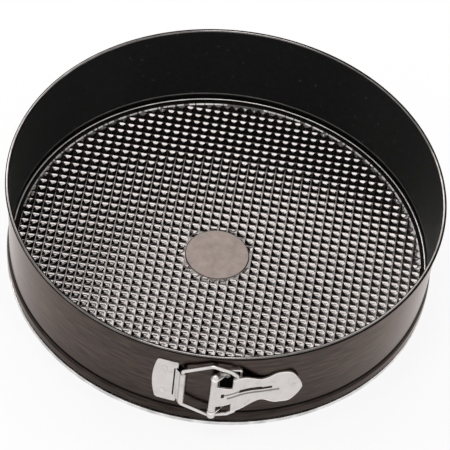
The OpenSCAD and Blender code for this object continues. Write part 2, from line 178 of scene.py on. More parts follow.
class PanClaspSettings(bpy.types.PropertyGroup):
    """Sizes and colours of the clasp."""

    middle: length("Middle", "Height of the clasp's middle", 0.036)
    sheet: length("Sheet", "Thickness of the plates", 0.0008)
    seat_gap: length("Seat gap", "Gap under the riveted plates", 0.00005)
    bail_standoff: length("Bail standoff", "Distance from the band to the bail's plane", 0.0032)
    over_centre: length("Over centre", "How far the pin lies outside the bail's plane", 0.0028)
    pin_x: length("Pin place", "Distance of the pin from the parting plane", 0.0067)
    catch_x: length("Knuckle place", "Distance of the knuckle from the parting plane", 0.012)
    crank: length("Crank", "Distance from the pin to the bail's far end", 0.0128)
    wire_radius: length("Wire radius", "Radius of the bail's wire", 0.0012)
    knuckle_radius: length("Knuckle radius", "Radius of the catch plate's knuckle", 0.00205)
    knuckle_height: length("Knuckle height", "Height of the knuckle", 0.0254)
    catch_width: length("Catch width", "Width of the catch plate", 0.0147)
    catch_height: length("Catch height", "Height of the catch plate", 0.037)
    catch_bow: length("Catch bow", "How far the catch plate's outer edge bows", 0.0025)
    catch_reach: length("Catch reach", "Distance from the catch plate to the knuckle", 0.003)
    root_radius: length("Root radius", "Radius of the lever's rolled root", 0.00225)
    root_bore: length("Root bore", "Radius of the hole in the lever's root", 0.00125)
    root_height: length("Root height", "Length of the lever's rolled root", 0.0284)
    lever_sheet: length("Lever sheet", "Thickness of the lever's steel", 0.001)
    neck_half: length("Neck half width", "Half width of the lever's neck", 0.0093)
    shoulder_half: length("Shoulder half width", "Half width across the lever's shoulders", 0.0134)
    waist_half: length("Waist half width", "Half width of the lever's waist", 0.0088)
    tab_half: length("Tab half width", "Half width of the thumb tab", 0.0135)
    tab_length: length("Tab length", "Distance from the waist to the tab's tip", 0.024)
    groove_width: length("Groove width", "Width of the lever's pressed groove", 0.0026)
    groove_length: length("Groove length", "Length of the lever's pressed groove", 0.031)
    groove_depth: length("Groove depth", "Depth of the lever's pressed groove", 0.0003)
    groove_lift: length("Groove lift", "Height of the groove's ends over the lever's middle", 0.0009)
    groove_arch: length("Groove arch", "How far the groove arches over the line of its ends", 0.0021)
    groove_span: share("Groove span", "Share of the groove's length that arches", 0.75)
    edge_lift: length("Edge lift", "How far the upper edge stands out at the shoulder and waist", 0.0014)
    neck_taper: length("Neck taper", "How much more the neck's lower edge draws in than its upper", 0.002)
    pin_drop: length("Pin drop", "How far the pin's lower head hangs below the solid pin", 0.0023)
    ear_radius: length("Ear radius", "Radius of the bracket's ears", 0.0026)
    ear_thickness: length("Ear thickness", "Thickness of the bracket's ears", 0.001)
    bracket_width: length("Bracket width", "Width of the bracket's plate", 0.0125)
    bracket_height: length("Bracket height", "Height of the bracket's plate", 0.036)
    bracket_lip: length("Bracket lip", "Radius of the rolled lip on the bracket's upper edge", 0.0006)
    bracket_lip_drop: length("Bracket lip drop", "How far the lip runs down the bracket's far edge", 0.007)
    rivet_radius: length("Rivet radius", "Radius of a rivet's head", 0.0019)
    rivet_rise: length("Rivet rise", "Height of a rivet's head", 0.0006)
    steel: colour("Steel", "Colour of the plated clasp", (0.67, 0.635, 0.615))
    wire: colour("Wire", "Colour of the bail's wire and the pin", (0.70, 0.67, 0.65))
    # Painted shade in the catch plate's crease and in the lever's pressed groove.
    crease: colour("Crease", "Colour of the baked residue in folds and grooves", (0.035, 0.026, 0.024))
    # Painted shade: the bracket's face lies in the lever's shadow.
    bracket: colour("Bracket", "Colour of the bracket's blackened face", (0.006, 0.006, 0.006))


class PanStageSettings(bpy.types.PropertyGroup):
    """Camera, lamps and floor."""

    distance: length("Distance", "Distance from the camera to its aim", 2.2)
    lens: FloatProperty(name="Lens", description="Focal length in millimetres", default=291.84)
    elevation: angle("Elevation", "Height of the camera over the table", 48.41)
    roll: angle("Roll", "Tilt of the camera about its view", 6.90)
    aim: point("Aim", "Point that the camera looks at", (0.00169, 0.000965, 0.030856))
    floor: colour("Floor", "Colour of the floor", (0.92, 0.92, 0.92))
    floor_lift: share("Floor lift", "Share of plain white in the floor as it is seen", 0.88)
    sky: FloatProperty(name="Sky", description="Strength of the even light all round", default=0.5)
    key: watts("Key lamp", "Power of the lamp over the pan", 5.8)
    key_place: point("Key place", "Place of the lamp over the pan", (-0.05, -0.18, 1.45))
    key_size: point("Key size", "Width and depth of the lamp over the pan", (0.6, 0.36))
    back: watts("Back lamp", "Power of the wide lamp behind", 5.0)
    back_place: point("Back place", "Place of the wide lamp behind", (0.0, 1.0, 1.15))
    back_size: point("Back size", "Width and height of the wide lamp behind", (0.8, 0.8))
    side: watts("Side lamp", "Power of the lamp behind, left", 7.0)
    side_place: point("Side place", "Place of the lamp behind, left", (-0.84, 1.0, 0.94))
    side_size: point("Side size", "Width and height of the lamp behind, left", (0.6, 0.6))
    card_place: point("Card place", "Place of the black card", (0.68, 0.86, 0.65))
    card_size: point("Card size", "Width and height of the black card", (0.95, 0.8))


# Mesh building


class Shape:
    """Points and faces of one piece, gathered before they become a mesh."""

    def __init__(self):
        self.points = []
        self.faces = []
        self.finishes = []

    def add(self, points, faces, finish=0):
        """Adds points and the faces between them, all of one finish or one finish per face."""
        first = len(self.points)
        self.points.extend(tuple(p) for p in points)
        self.faces.extend(tuple(first + i for i in face) for face in faces)
        several = finish if isinstance(finish, list) else [finish] * len(faces)
        self.finishes.extend(several)


def in_scene(name, data):
    """A new object with its data, linked to the scene."""
    made = bpy.data.objects.new(name, data)
    bpy.context.scene.collection.objects.link(made)
    return made


def make_piece(name, shape, materials, body, node, bevel=0.0, smooth_degrees=40.0):
    """Turns a shape into an object that stands for a CAD node and moves with its body."""
    mesh = bpy.data.meshes.new(name)
    mesh.from_pydata(shape.points, [], shape.faces)
    for material in materials:
        mesh.materials.append(material)
    mesh.polygons.foreach_set("material_index", shape.finishes)
    work = bmesh.new()
    work.from_mesh(mesh)
    bmesh.ops.recalc_face_normals(work, faces=work.faces)
    limit = math.radians(smooth_degrees)
    for face in work.faces:
        face.smooth = True
    for edge in work.edges:
        edge.smooth = len(edge.link_faces) == 2 and edge.calc_face_angle(0.0) < limit
    work.to_mesh(mesh)
    work.free()
    piece = in_scene(name, mesh)
    if bevel:
        edges = piece.modifiers.new("Pressed edges", "BEVEL")
        edges.width = bevel
        edges.segments = 2
        edges.limit_method = "ANGLE"
        edges.angle_limit = limit
        edges.harden_normals = True
    if body:
        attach(piece, body)
    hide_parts(node)
    return piece


def rounded(corners, steps=6):
    """A path through corners given as (x, y, fillet radius), with each fillet drawn as an arc."""
    path = []
    for i, (x, y, fillet) in enumerate(corners):
        here = Vector((x, y))
        if fillet <= 0.0 or i == 0 or i == len(corners) - 1:
            path.append((x, y))
            continue
        back = (Vector(corners[i - 1][:2]) - here).normalized()
        ahead = (Vector(corners[i + 1][:2]) - here).normalized()
        half = back.angle(ahead) / 2.0
        cut = fillet / math.tan(half)
        middle = here + (back + ahead).normalized() * (fillet / math.sin(half))
        first = here + back * cut - middle
        turn = math.pi - 2.0 * half
        if back.x * ahead.y - back.y * ahead.x > 0.0:
            turn = -turn
        for k in range(steps + 1):
            spoke = Matrix.Rotation(turn * k / steps, 2) @ first
            path.append(tuple(middle + spoke))
    return path


def ring_faces(rows, columns, close_rows=False, close_columns=False):
    """Four-sided faces over a grid of points stored row by row."""
    faces = []
    for i in range(rows if close_rows else rows - 1):
        for j in range(columns if close_columns else columns - 1):
            a, b = i * columns, ((i + 1) % rows) * columns
            k = (j + 1) % columns
            faces.append((a + j, a + k, b + k, b + j))
    return faces


def turned(shape, profile, turns, finishes=0, closed_profile=False, full_turn=False, centre=(0.0, 0.0)):
    """Turns a profile of (radius, height) points about an upright axis.

    The finish is one for all, a list with one per step of the profile, or a function of turn and step.
    """
    points = [
        (centre[0] + r * math.cos(turn), centre[1] + r * math.sin(turn), z)
        for turn in turns for r, z in profile
    ]
    faces = ring_faces(len(turns), len(profile), full_turn, closed_profile)
    per_row = len(profile) if closed_profile else len(profile) - 1
    if callable(finishes):
        finishes = [finishes(turns[i // per_row], i % per_row) for i in range(len(faces))]
    elif isinstance(finishes, list):
        finishes = [finishes[i % per_row] for i in range(len(faces))]
    shape.add(points, faces, finishes)
    if closed_profile and not full_turn:
        count = len(profile)
        for end in (points[:count], points[-count:]):
            shape.add(end, [tuple(range(count))])


def even_steps(first, last, steps):
    """Evenly spaced numbers from first to last, both included."""
    return [first + (last - first) * i / steps for i in range(steps + 1)]


def full_turns(steps):
    """Evenly spaced angles round a whole turn, the end left out."""
    return [math.tau * i / steps for i in range(steps)]


def bent_sheet(shape, outer, inner, finish=0, rim_finish=0, face_finish=None):
    """A closed sheet between two grids of points, with one finish, the rim's, and one per outer face."""
    rows, columns = len(outer), len(outer[0])
    flat = [p for row in outer for p in row] + [p for row in inner for p in row]
    top = ring_faces(rows, columns)
    count = rows * columns
    faces = list(top)
    faces += [tuple(count + i for i in reversed(face)) for face in top]
    rim = list(range(columns))
    rim += [i * columns + columns - 1 for i in range(1, rows)]
    rim += [(rows - 1) * columns + j for j in range(columns - 2, -1, -1)]
    rim += [i * columns for i in range(rows - 2, 0, -1)]
    for a, b in zip(rim, rim[1:] + rim[:1]):
        faces.append((b, a, count + a, count + b))
    finishes = [finish] * (2 * len(top)) + [rim_finish] * len(rim)
    if face_finish:
        finishes[:len(top)] = [face_finish(i, j) for i in range(rows - 1) for j in range(columns - 1)]
    shape.add(flat, faces, finishes)


def upright_block(shape, outline, low, high, finish=0):
    """A plan outline run from one height to another."""
    count = len(outline)
    points = [(x, y, low) for x, y in outline] + [(x, y, high) for x, y in outline]
    faces = [tuple(range(count)), tuple(range(2 * count - 1, count - 1, -1))]
    for i in range(count):
        j = (i + 1) % count
        faces.append((i, j, count + j, count + i))
    shape.add(points, faces, finish)


def arc(centre, radius, first, last, steps):
    """Points of a flat arc, angles in degrees."""
    turns = [math.radians(degrees) for degrees in even_steps(first, last, steps)]
    return [(centre[0] + radius * math.cos(turn), centre[1] + radius * math.sin(turn)) for turn in turns]


# Rings at a wire's end, as their distance from it and their size, both in radii of the wire.
WIRE_END = ((0.0, 0.55), (0.12, 0.85), (0.35, 1.0))


def round_wire(shape, path, radius, sides=16, finish=0):
    """A round wire along a path of points, with flat rounded ends."""
    path = [Vector(p) for p in path]
    turns = full_turns(sides)
    rings = []
    side = None
    for i, here in enumerate(path):
        ahead = path[min(i + 1, len(path) - 1)] - path[max(i - 1, 0)]
        ahead.normalize()
        if side is None:
            side = ahead.orthogonal().normalized()
        side = (side - ahead * side.dot(ahead)).normalized()
        up = ahead.cross(side)
        scales = [(0.0, 1.0)]
        if i == 0:
            scales = WIRE_END
        elif i == len(path) - 1:
            scales = [(-shift, scale) for shift, scale in reversed(WIRE_END)]
        for shift, scale in scales:
            middle, reach = here + ahead * (shift * radius), radius * scale
            spokes = [side * math.cos(turn) + up * math.sin(turn) for turn in turns]
            rings.append([middle + spoke * reach for spoke in spokes])
    points = [p for ring in rings for p in ring]
    faces = ring_faces(len(rings), sides, close_columns=True)
    faces.append(tuple(range(sides)))
    faces.append(tuple(range(len(points) - sides, len(points))))
    shape.add(points, faces, finish)


def ease(part):
    """A smooth step from 0 to 1."""
    part = min(max(part, 0.0), 1.0)
    return part * part * (3.0 - 2.0 * part)


def smooth_least(a, b, blend):
    """The lesser of two numbers, rounded off where they are about equal."""
    return -blend * math.log(math.exp(-a / blend) + math.exp(-b / blend))


# Places on the band that several pieces share


def wall_radius(height):
    """Inside radius of the wall at a height."""
    band = bpy.context.scene.pan_band
    fall = (band.wall_top - height) / (band.wall_top - band.groove_top)
    return band.rim_radius - band.wall_draw * fall


def band_radius(height):
    """Outside radius of the wall at a height."""
    return wall_radius(height) + bpy.context.scene.pan_band.thickness


def clasp_places():
    """Plan positions of the knuckle, the lever's pin and the bail's far end."""
    clasp = bpy.context.scene.pan_clasp
    plane = -(band_radius(clasp.middle) + clasp.bail_standoff)
    knuckle = Vector((-clasp.catch_x, plane))
    pin = Vector((clasp.pin_x, plane - clasp.over_centre))
    bail_end = Vector((clasp.pin_x + clasp.crank, plane))
    return knuckle, pin, bail_end


def on_wall(x, z, lift):
    """The point at a distance over the band's outer face, at the front."""
    radius = band_radius(z) + lift
    return (x, -math.sqrt(radius * radius - x * x), z)


# Fillet of the plates' corners, the rows at their ends and the reach of the even rows between them,
# the last two in shares of a plate's half height.
PLATE_CORNER = 0.0016
PLATE_ENDS = (0.0, 0.004, 0.015, 0.04, 0.08)
PLATE_EVEN = 0.85


def corner_cut(clasp, z, half):
    """How far a plate's rounded corner draws its side edge in at a height."""
    inset = max(0.0, abs(z - clasp.middle) - (half - PLATE_CORNER))
    return PLATE_CORNER - math.sqrt(max(0.0, PLATE_CORNER * PLATE_CORNER - inset * inset))


def plate_heights(clasp, half, rows):
    """Heights of a plate's rows, closer together at its rounded corners."""
    ends = [half * part for part in PLATE_ENDS]
    heights = [clasp.middle - half + end for end in ends]
    heights += even_steps(clasp.middle - half * PLATE_EVEN, clasp.middle + half * PLATE_EVEN, rows)
    return heights + [clasp.middle + half - end for end in reversed(ends)]


def wall_plate(shape, columns_at, heights, thickness, face_finish, rim_finish=0):
    """A thin plate that lies on the band, its places across given for each height."""
    clasp = bpy.context.scene.pan_clasp
    outer = []
    inner = []
    for z in heights:
        xs = columns_at(z)
        outer.append([on_wall(x, z, clasp.seat_gap + thickness) for x in xs])
        inner.append([on_wall(x, z, clasp.seat_gap) for x in xs])
    bent_sheet(shape, outer, inner, 0, rim_finish, face_finish)


# Finishes


class Finish:
    """Node tree of one procedural finish."""

    def __init__(self, name):
        self.material = bpy.data.materials.new(name)
        self.material.use_nodes = True
        self.tree = self.material.node_tree
        self.surface = self.tree.nodes["Principled BSDF"]

    def node(self, kind, **sockets):
        """A node with its input sockets set or linked."""
        made = self.tree.nodes.new(kind)
        for key, value in sockets.items():
            self.put(made.inputs[key.replace("_", " ")], value)
        return made

    def put(self, socket, value):
        """Sets a socket, or links it where the value is another socket."""
        if isinstance(value, bpy.types.NodeSocket):
            self.tree.links.new(value, socket)
        else:
            socket.default_value = value

    def place(self, scale):
        """Object coordinates stretched by a scale along X, Y and Z."""
        where = self.tree.nodes.new("ShaderNodeTexCoord")
        mapping = self.node("ShaderNodeMapping", Vector=where.outputs["Object"], Scale=scale)
        return mapping.outputs["Vector"]

    def noise(self, scale, detail=3.0, stretch=(1.0, 1.0, 1.0), roughness=0.5):
        """A noise value in object space."""
        made = self.node("ShaderNodeTexNoise", Vector=self.place(stretch), Scale=scale)
        self.put(made.inputs["Detail"], detail)
        self.put(made.inputs["Roughness"], roughness)
        return made.outputs["Fac"]

    def ramp(self, value, base, *stops):
        """A ramp over a value through lighter and darker tones of a colour, given as (place, factor)."""
        made = self.node("ShaderNodeValToRGB", Fac=value)
        band = made.color_ramp
        while len(band.elements) < len(stops):
            band.elements.new(0.5)
        for element, (where, factor) in zip(band.elements, stops):
            element.position = where
            element.color = (*tinted(base, factor), 1.0)
        return made.outputs["Color"]

    def remap(self, value, low, high):
        """A value of 0 to 1 mapped to another range."""
        return self.node("ShaderNodeMapRange", Value=value, To_Min=low, To_Max=high).outputs["Result"]

    def by_height(self, low, high, at_low, at_high):
        """A value that goes from one number to another between two heights."""
        where = self.tree.nodes.new("ShaderNodeTexCoord")
        parts = self.node("ShaderNodeSeparateXYZ", Vector=where.outputs["Object"])
        made = self.node("ShaderNodeMapRange", Value=parts.outputs["Z"], From_Min=low, From_Max=high)
        self.put(made.inputs["To Min"], at_low)
        self.put(made.inputs["To Max"], at_high)
        return made.outputs["Result"]

    def dimmed(self, tone, factor):
        """A colour multiplied by a value."""
        made = self.node("ShaderNodeVectorMath")
        made.operation = "SCALE"
        self.put(made.inputs[0], tone)
        self.put(made.inputs["Scale"], factor)
        return made.outputs["Vector"]

    def bump(self, height, strength, distance):
        """Fine relief from a height value."""
        made = self.node("ShaderNodeBump", Height=height, Strength=strength, Distance=distance)
        self.put(self.surface.inputs["Normal"], made.outputs["Normal"])

    def set(self, **sockets):
        """Sets or links the surface shader's own sockets."""
        for key, value in sockets.items():
            self.put(self.surface.inputs[key.replace("_", " ")], value)


# Scale of a plated piece's grain along X, Y and Z; a small number draws it out that way.
GRAIN_EVEN = (1.0, 1.0, 1.0)
GRAIN_ALONG = (0.12, 1.0, 1.0)
GRAIN_UPRIGHT = (1.0, 1.0, 0.12)


def shown_rays(tree):
    """A socket that is 1 for what the camera sees, straight or in a reflection."""
    path = tree.nodes.new("ShaderNodeLightPath")
    seen = path.outputs["Is Camera Ray"]
    for ray in ("Is Glossy Ray", "Is Transmission Ray"):
        either = tree.nodes.new("ShaderNodeMath")
        either.operation = "MAXIMUM"
        tree.links.new(seen, either.inputs[0])
        tree.links.new(path.outputs[ray], either.inputs[1])
        seen = either.outputs["Value"]
    return seen


def tinted(base, factor):
    """A colour made lighter or darker."""
    return tuple(min(1.0, c * factor) for c in base)


def bronze_coat(name, base):
    """Satin bronze coat with the fine grain of rolled steel under it, darkened towards the bottom by
    painted shade.
    """
    finish = Finish(name)
    grain = finish.noise(scale=260.0, detail=4.0, stretch=(0.3, 0.3, 2.2))
    cloud = finish.noise(scale=14.0, detail=2.0)
    tone = finish.ramp(grain, base, (0.3, 0.62), (0.7, 1.45))
    # Painted shade: the coat darkens towards the band's bottom.
    burnt = finish.by_height(low=0.012, high=0.034, at_low=0.58, at_high=1.0)
    finish.set(Base_Color=finish.dimmed(tone, burnt), Metallic=1.0)
    finish.set(Roughness=finish.remap(cloud, low=0.14, high=0.22), Specular_Tint=(1.0, 0.93, 0.90, 1.0))
    finish.bump(grain, strength=0.10, distance=0.0002)
    return finish.material


def black_coat(name, base):
    """Black non-stick coat with a faint orange-peel texture."""
    finish = Finish(name)
    peel = finish.noise(scale=900.0, detail=2.0)
    cloud = finish.noise(scale=18.0, detail=3.0)
    specks = finish.noise(scale=330.0, detail=2.0)
    tone = finish.ramp(specks, base, (0.3, 0.85), (0.69, 1.15), (0.76, 5.0))
    roughness = finish.remap(cloud, low=0.32, high=0.44)
    finish.set(Base_Color=tone, Roughness=roughness, Specular_IOR_Level=0.22)
    finish.bump(peel, strength=0.12, distance=0.0001)
    return finish.material


def rubbed_metal(name, base, gloss):
    """A light metallic finish with a tone that varies at random, given its lowest and highest roughness;
    it makes painted highlights and the hem's partly painted sheen.
    """
    finish = Finish(name)
    wear = finish.noise(scale=120.0, detail=4.0)
    tone = finish.ramp(wear, base, (0.3, 0.62), (0.62, 1.0), (0.8, 1.35))
    finish.set(Base_Color=tone, Metallic=1.0, Roughness=finish.remap(wear, *gloss))
    return finish.material


def grey_coat(name, base):
    """Grey metallic non-stick coat with a fine speckle and a cloudy tone."""
    finish = Finish(name)
    speckle = finish.noise(scale=2400.0, detail=2.0)
    cloud = finish.noise(scale=150.0, detail=5.0, roughness=0.65)
    tone = finish.ramp(cloud, base, (0.3, 0.82), (0.7, 1.16))
    finish.set(Base_Color=tone, Metallic=1.0, Roughness=finish.remap(speckle, low=0.08, high=0.17))
    finish.bump(speckle, strength=0.06, distance=0.00006)
    return finish.material


def plated_steel(name, base, grain_stretch):
    """Bright plated steel with drawn grain and small handling marks."""
    finish = Finish(name)
    grain = finish.noise(scale=420.0, detail=4.0, stretch=grain_stretch)
    marks = finish.noise(scale=160.0, detail=5.0, roughness=0.7)
    tone = finish.ramp(marks, base, (0.28, 0.8), (0.45, 1.0), (0.8, 1.12))
    finish.set(Base_Color=tone, Metallic=1.0, Roughness=finish.remap(grain, low=0.26, high=0.40))
    finish.bump(grain, strength=0.06, distance=0.0001)
    return finish.material


def baked_residue(name, base):
    """A dull dark colour, patchy along its length: painted shade in folds, creases and on shaded faces,
    and the felt of the black card.
    """
    finish = Finish(name)
    patches = finish.noise(scale=700.0, detail=3.0)
    tone = finish.ramp(patches, base, (0.35, 0.5), (0.7, 1.8))
    roughness = finish.remap(patches, low=0.65, high=0.9)
    finish.set(Base_Color=tone, Roughness=roughness, Specular_IOR_Level=0.05)
    return finish.material


# Pieces

# The names in capitals are numbers of finishes, small sizes in metres, shares and counts of steps
# that a user wouldn't change.


class PAN_OT_make_band(bpy.types.Operator):
    """Makes both halves of the band, with rolled rim, base groove and hem"""

    bl_idname = "pan.make_band"
    bl_label = "Make Band"

    # Of these finishes the rim's strip and the lip are painted highlights, the hem is partly painted
    # sheen, and the dull dark one is painted shade.
    OUTSIDE, INSIDE, RIM, RESIDUE, HEM, LIP = range(6)
    ROLL_FROM, ROLL_TO, ROLL_STEPS = 165.0, -118.0, 46
    CUT_EDGE = 0.0006
    LIP_REACH, LIP_LOW, LIP_HIGH, LIP_ZONE = 0.0003, 0.0001, 0.0005, 0.0009
    INNER_FOOT, OUTER_FOOT, OUTER_TOP = 0.001, 0.0012, 0.0011
    KINK_SHARE = 0.25
    FOLD_WIDTH = 1.3
    HEM_HIGH, HEM_LOW, HEM_UNDER = 0.94, 0.16, 0.0004
    SHADE_MIDDLE, SHADE_HALF, SHADE_TOP = 0.0004, 0.00085, 0.001
    TONGUE_GAP, TONGUE_SHEET, TONGUE_ROWS, TONGUE_COLUMNS = 0.0003, 0.0005, 6, 14

    def profile(self, band):
        """Closed section of the band, as points and a function that gives each face's finish.

        A corner is given as its radius from the axis, its height and its fillet.
        """
        sheet = band.thickness
        top = band.groove_top
        lip = band.rim_radius - band.wall_draw
        groove = lip + band.groove_depth
        ledge = groove - band.ledge_width
        slope_low = top - band.groove_slope
        inner = rounded([
            (ledge, self.CUT_EDGE, 0.0),
            (ledge, band.ledge_height, 0.0006),
            (groove, band.ledge_height, 0.0008),
            (groove, slope_low, 0.0011),
            (lip - self.LIP_REACH, top - self.LIP_LOW, 0.0003),
            (lip - self.LIP_REACH, top + self.LIP_HIGH, 0.0003),
            (wall_radius(top + self.INNER_FOOT), top + self.INNER_FOOT, 0.0004),
            (band.rim_radius, band.wall_top, 0.0),
        ])
        middle = (band.rim_radius + band.roll_radius, band.wall_top)
        roll_turns = even_steps(self.ROLL_FROM, self.ROLL_TO, self.ROLL_STEPS)
        roll = arc(middle, band.roll_radius, self.ROLL_FROM, self.ROLL_TO, self.ROLL_STEPS)
        hem = ledge + band.hem_width
        fold = ledge + sheet * self.FOLD_WIDTH
        kink_out = band.groove_depth * self.KINK_SHARE
        kink_down = band.groove_slope * self.KINK_SHARE
        outer = rounded([
            (band.rim_radius + sheet, band.wall_top - self.OUTER_TOP, 0.0),
            (band_radius(top + self.OUTER_FOOT), top + self.OUTER_FOOT, 0.0),
            (lip + sheet, top, 0.0005),
            (lip + sheet + kink_out, top - kink_down, 0.0),
            (groove + sheet, slope_low, 0.0013),
            (groove + sheet, band.ledge_height + sheet, 0.0009),
            (groove, band.ledge_height - sheet, 0.0004),
            (fold, band.ledge_height - sheet, 0.0003),
            (fold, band.hem_height, 0.0002),
            (hem, band.hem_height * self.HEM_HIGH, 0.0003),
            (hem, band.hem_height * self.HEM_LOW, 0.0004),
            (hem - self.HEM_UNDER, 0.0, 0.0002),
            (ledge + self.CUT_EDGE, 0.0, 0.0),
        ])
        # The roll starts as painted shade, and the crease over the groove and the fold under the ledge get
        # painted shade.
        finishes = [
            # The lip over the groove gets its painted highlight.
            self.LIP if r < lip and abs(z - top) < self.LIP_ZONE else self.INSIDE for r, z in inner
        ]
        first = len(finishes)
        finishes += [self.RESIDUE] * len(roll)
        for _, z in outer:
            shaded = abs(z - top - self.SHADE_MIDDLE) < self.SHADE_HALF
            shaded = shaded or band.hem_height <= z <= band.ledge_height + sheet + self.SHADE_TOP
            finishes.append(self.HEM if z < band.hem_height else self.RESIDUE if shaded else self.OUTSIDE)

        def finish_at(turn, step):
            """The finish of one face; the rim's painted highlight lies further out in front than at the
            back, and the rest of the roll is painted shade.
            """
            if not first <= step < first + len(roll):
                return finishes[step]
            worn = band.worn_to + band.worn_swing * math.sin(turn + band.worn_shift)
            past = math.radians(roll_turns[step - first]) - worn
            return self.RIM if 0.0 < past < band.worn_width else self.RESIDUE

        return inner + roll + outer, finish_at

    def tongue(self, shape, band):
        """The left half's tongue, tucked behind the right half."""
        steps = even_steps(-band.tongue_root, band.tongue_length, self.TONGUE_COLUMNS)
        outer = []
        inner = []
        for z in even_steps(band.tongue_low, band.tongue_high, self.TONGUE_ROWS):
            front = wall_radius(z) - self.TONGUE_GAP
            back = front - self.TONGUE_SHEET
            outer.append([(x, -math.sqrt(front * front - x * x), z) for x in steps])
            inner.append([(x, -math.sqrt(back * back - x * x), z) for x in steps])
        bent_sheet(shape, outer, inner, self.INSIDE, self.INSIDE)

    def execute(self, context):
        band = context.scene.pan_band
        coats = [
            bronze_coat("bronze_outer_coat", band.outside),
            black_coat("black_inner_coat", band.inside),
            # Painted highlight on the rolled rim.
            rubbed_metal("rubbed_rim_coat", band.rim, gloss=(0.10, 0.16)),
            # Painted shade on the roll, in the crease and in the fold.
            baked_residue("baked_fold_residue", band.residue),
            # The hem: bare steel, brightened by painted sheen.
            rubbed_metal("bare_hem_steel", band.hem, gloss=(0.3, 0.45)),
            # Painted highlight along the groove's lip.
            rubbed_metal("worn_lip_coat", band.lip, gloss=(0.35, 0.5)),
        ]
        profile, finish_at = self.profile(band)
        gap = band.parting_gap / 2.0 / band.rim_radius
        front, back, front_again = -math.pi / 2, math.pi / 2, math.pi * 1.5
        right = Shape()
        turns = even_steps(front + gap, back, band.segments)
        turned(right, profile, turns, finish_at, closed_profile=True)
        make_piece("band_right", right, coats, "ring_right", "ring_right_half")
        left = Shape()
        turns = even_steps(back, front_again - gap, band.segments)
        turned(left, profile, turns, finish_at, closed_profile=True)
        self.tongue(left, band)
        piece = make_piece("band_left", left, coats, None, "ring_left_half")
        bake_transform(piece)
        return {"FINISHED"}


